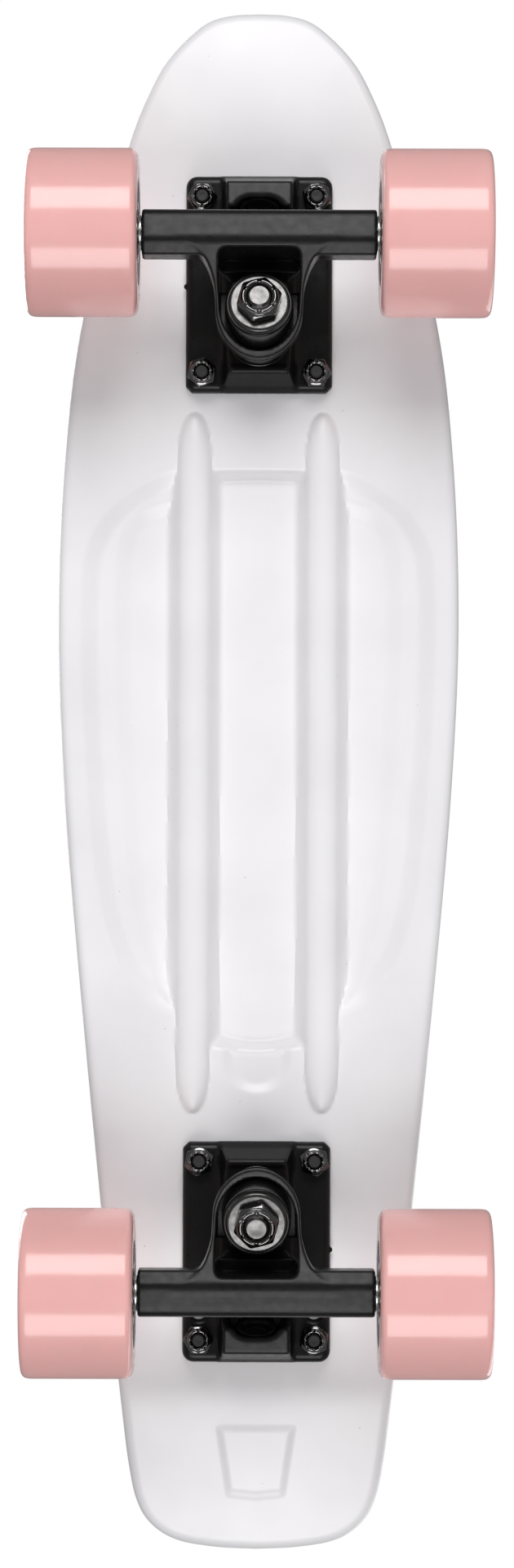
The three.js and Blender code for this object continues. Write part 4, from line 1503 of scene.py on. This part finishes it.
def add_camera():
    """Under the board, looking up at it, nose at the top of the frame."""
    data = bpy.data.cameras.new("camera")
    data.lens = CAMERA_LENS
    data.clip_start = 0.01
    data.clip_end = 100
    camera = bpy.data.objects.new("camera", data)
    bpy.context.scene.collection.objects.link(camera)
    away = Vector((-math.sin(CAMERA_TILT), 0, -math.cos(CAMERA_TILT)))
    camera.location = AIM + away * CAMERA_DISTANCE * MM
    aim(camera, AIM, Vector((1, CAMERA_ROLL, 0)))
    bpy.context.scene.camera = camera


def add_softbox(name, location, size, power, up=(0, 1, 0), target=(0, 0, 0.06)):
    """A rectangular lamp, in metres and watts, that the camera doesn't see."""
    data = bpy.data.lights.new(name, "AREA")
    data.shape = "RECTANGLE"
    data.size, data.size_y = size
    data.energy = power
    lamp = bpy.data.objects.new(name, data)
    bpy.context.scene.collection.objects.link(lamp)
    lamp.location = location
    aim(lamp, Vector(target), Vector(up))
    lamp.visible_camera = False


def add_world():
    """White behind the object, a softer grey for its light."""
    world = bpy.data.worlds.new("studio")
    bpy.context.scene.world = world
    world.use_nodes = True
    tree = world.node_tree
    output = tree.nodes["World Output"]
    soft = tree.nodes["Background"]
    soft.inputs["Color"].default_value = (1, 1, 1, 1)
    soft.inputs["Strength"].default_value = WORLD_LIGHT
    white = tree.nodes.new("ShaderNodeBackground")
    white.inputs["Color"].default_value = (1, 1, 1, 1)
    path = tree.nodes.new("ShaderNodeLightPath")
    mix = tree.nodes.new("ShaderNodeMixShader")
    tree.links.new(path.outputs["Is Camera Ray"], mix.inputs[0])
    tree.links.new(soft.outputs[0], mix.inputs[1])
    tree.links.new(white.outputs[0], mix.inputs[2])
    tree.links.new(mix.outputs[0], output.inputs["Surface"])


def add_floor(half=9.0):
    """A pale floor that shows only from above, because the camera looks up from below it."""
    mesh = bpy.data.meshes.new("floor")
    corners = [(-half, -half, 0), (half, -half, 0), (half, half, 0), (-half, half, 0)]
    mesh.from_pydata(corners, [], [(0, 1, 2, 3)])
    floor = bpy.data.objects.new("floor", mesh)
    bpy.context.scene.collection.objects.link(floor)
    material = bpy.data.materials.new("floor")
    material.use_nodes = True
    tree = material.node_tree
    shader = tree.nodes["Principled BSDF"]
    shader.inputs["Base Color"].default_value = (0.82, 0.82, 0.82, 1)
    shader.inputs["Roughness"].default_value = 0.7
    clear = tree.nodes.new("ShaderNodeBsdfTransparent")
    mix = tree.nodes.new("ShaderNodeMixShader")
    geometry = tree.nodes.new("ShaderNodeNewGeometry")
    tree.links.new(geometry.outputs["Backfacing"], mix.inputs[0])
    tree.links.new(shader.outputs[0], mix.inputs[1])
    tree.links.new(clear.outputs[0], mix.inputs[2])
    tree.links.new(mix.outputs[0], tree.nodes["Material Output"].inputs["Surface"])
    mesh.materials.append(material)
    floor.visible_shadow = False
    floor.visible_glossy = False
    floor.visible_diffuse = False


add_camera()
add_world()
add_floor()
add_softbox("nose_strip", (1.8, 0, -2.0), (1.4, 1.6), 48)
add_softbox("tail_strip", (-1.8, 0, -2.0), (1.4, 1.6), 36)
for side_name, sign in SIDES.items():
    out, height = SIDE_LAMP
    add_softbox(side_name + "_side", (0, sign * out, height), (1.0, 1.6), 1, up=(-sign * out, 0, 0))
add_softbox("upper_key", (0.7, -1.2, 1.7), (1.4, 1.4), 30, up=(1, 0, 0))
add_softbox("upper_fill", (-1.0, 1.3, 1.4), (1.6, 1.6), 16, up=(1, 0, 0))

scene = bpy.context.scene
scene.view_settings.view_transform = "Standard"
scene.view_settings.look = "None"
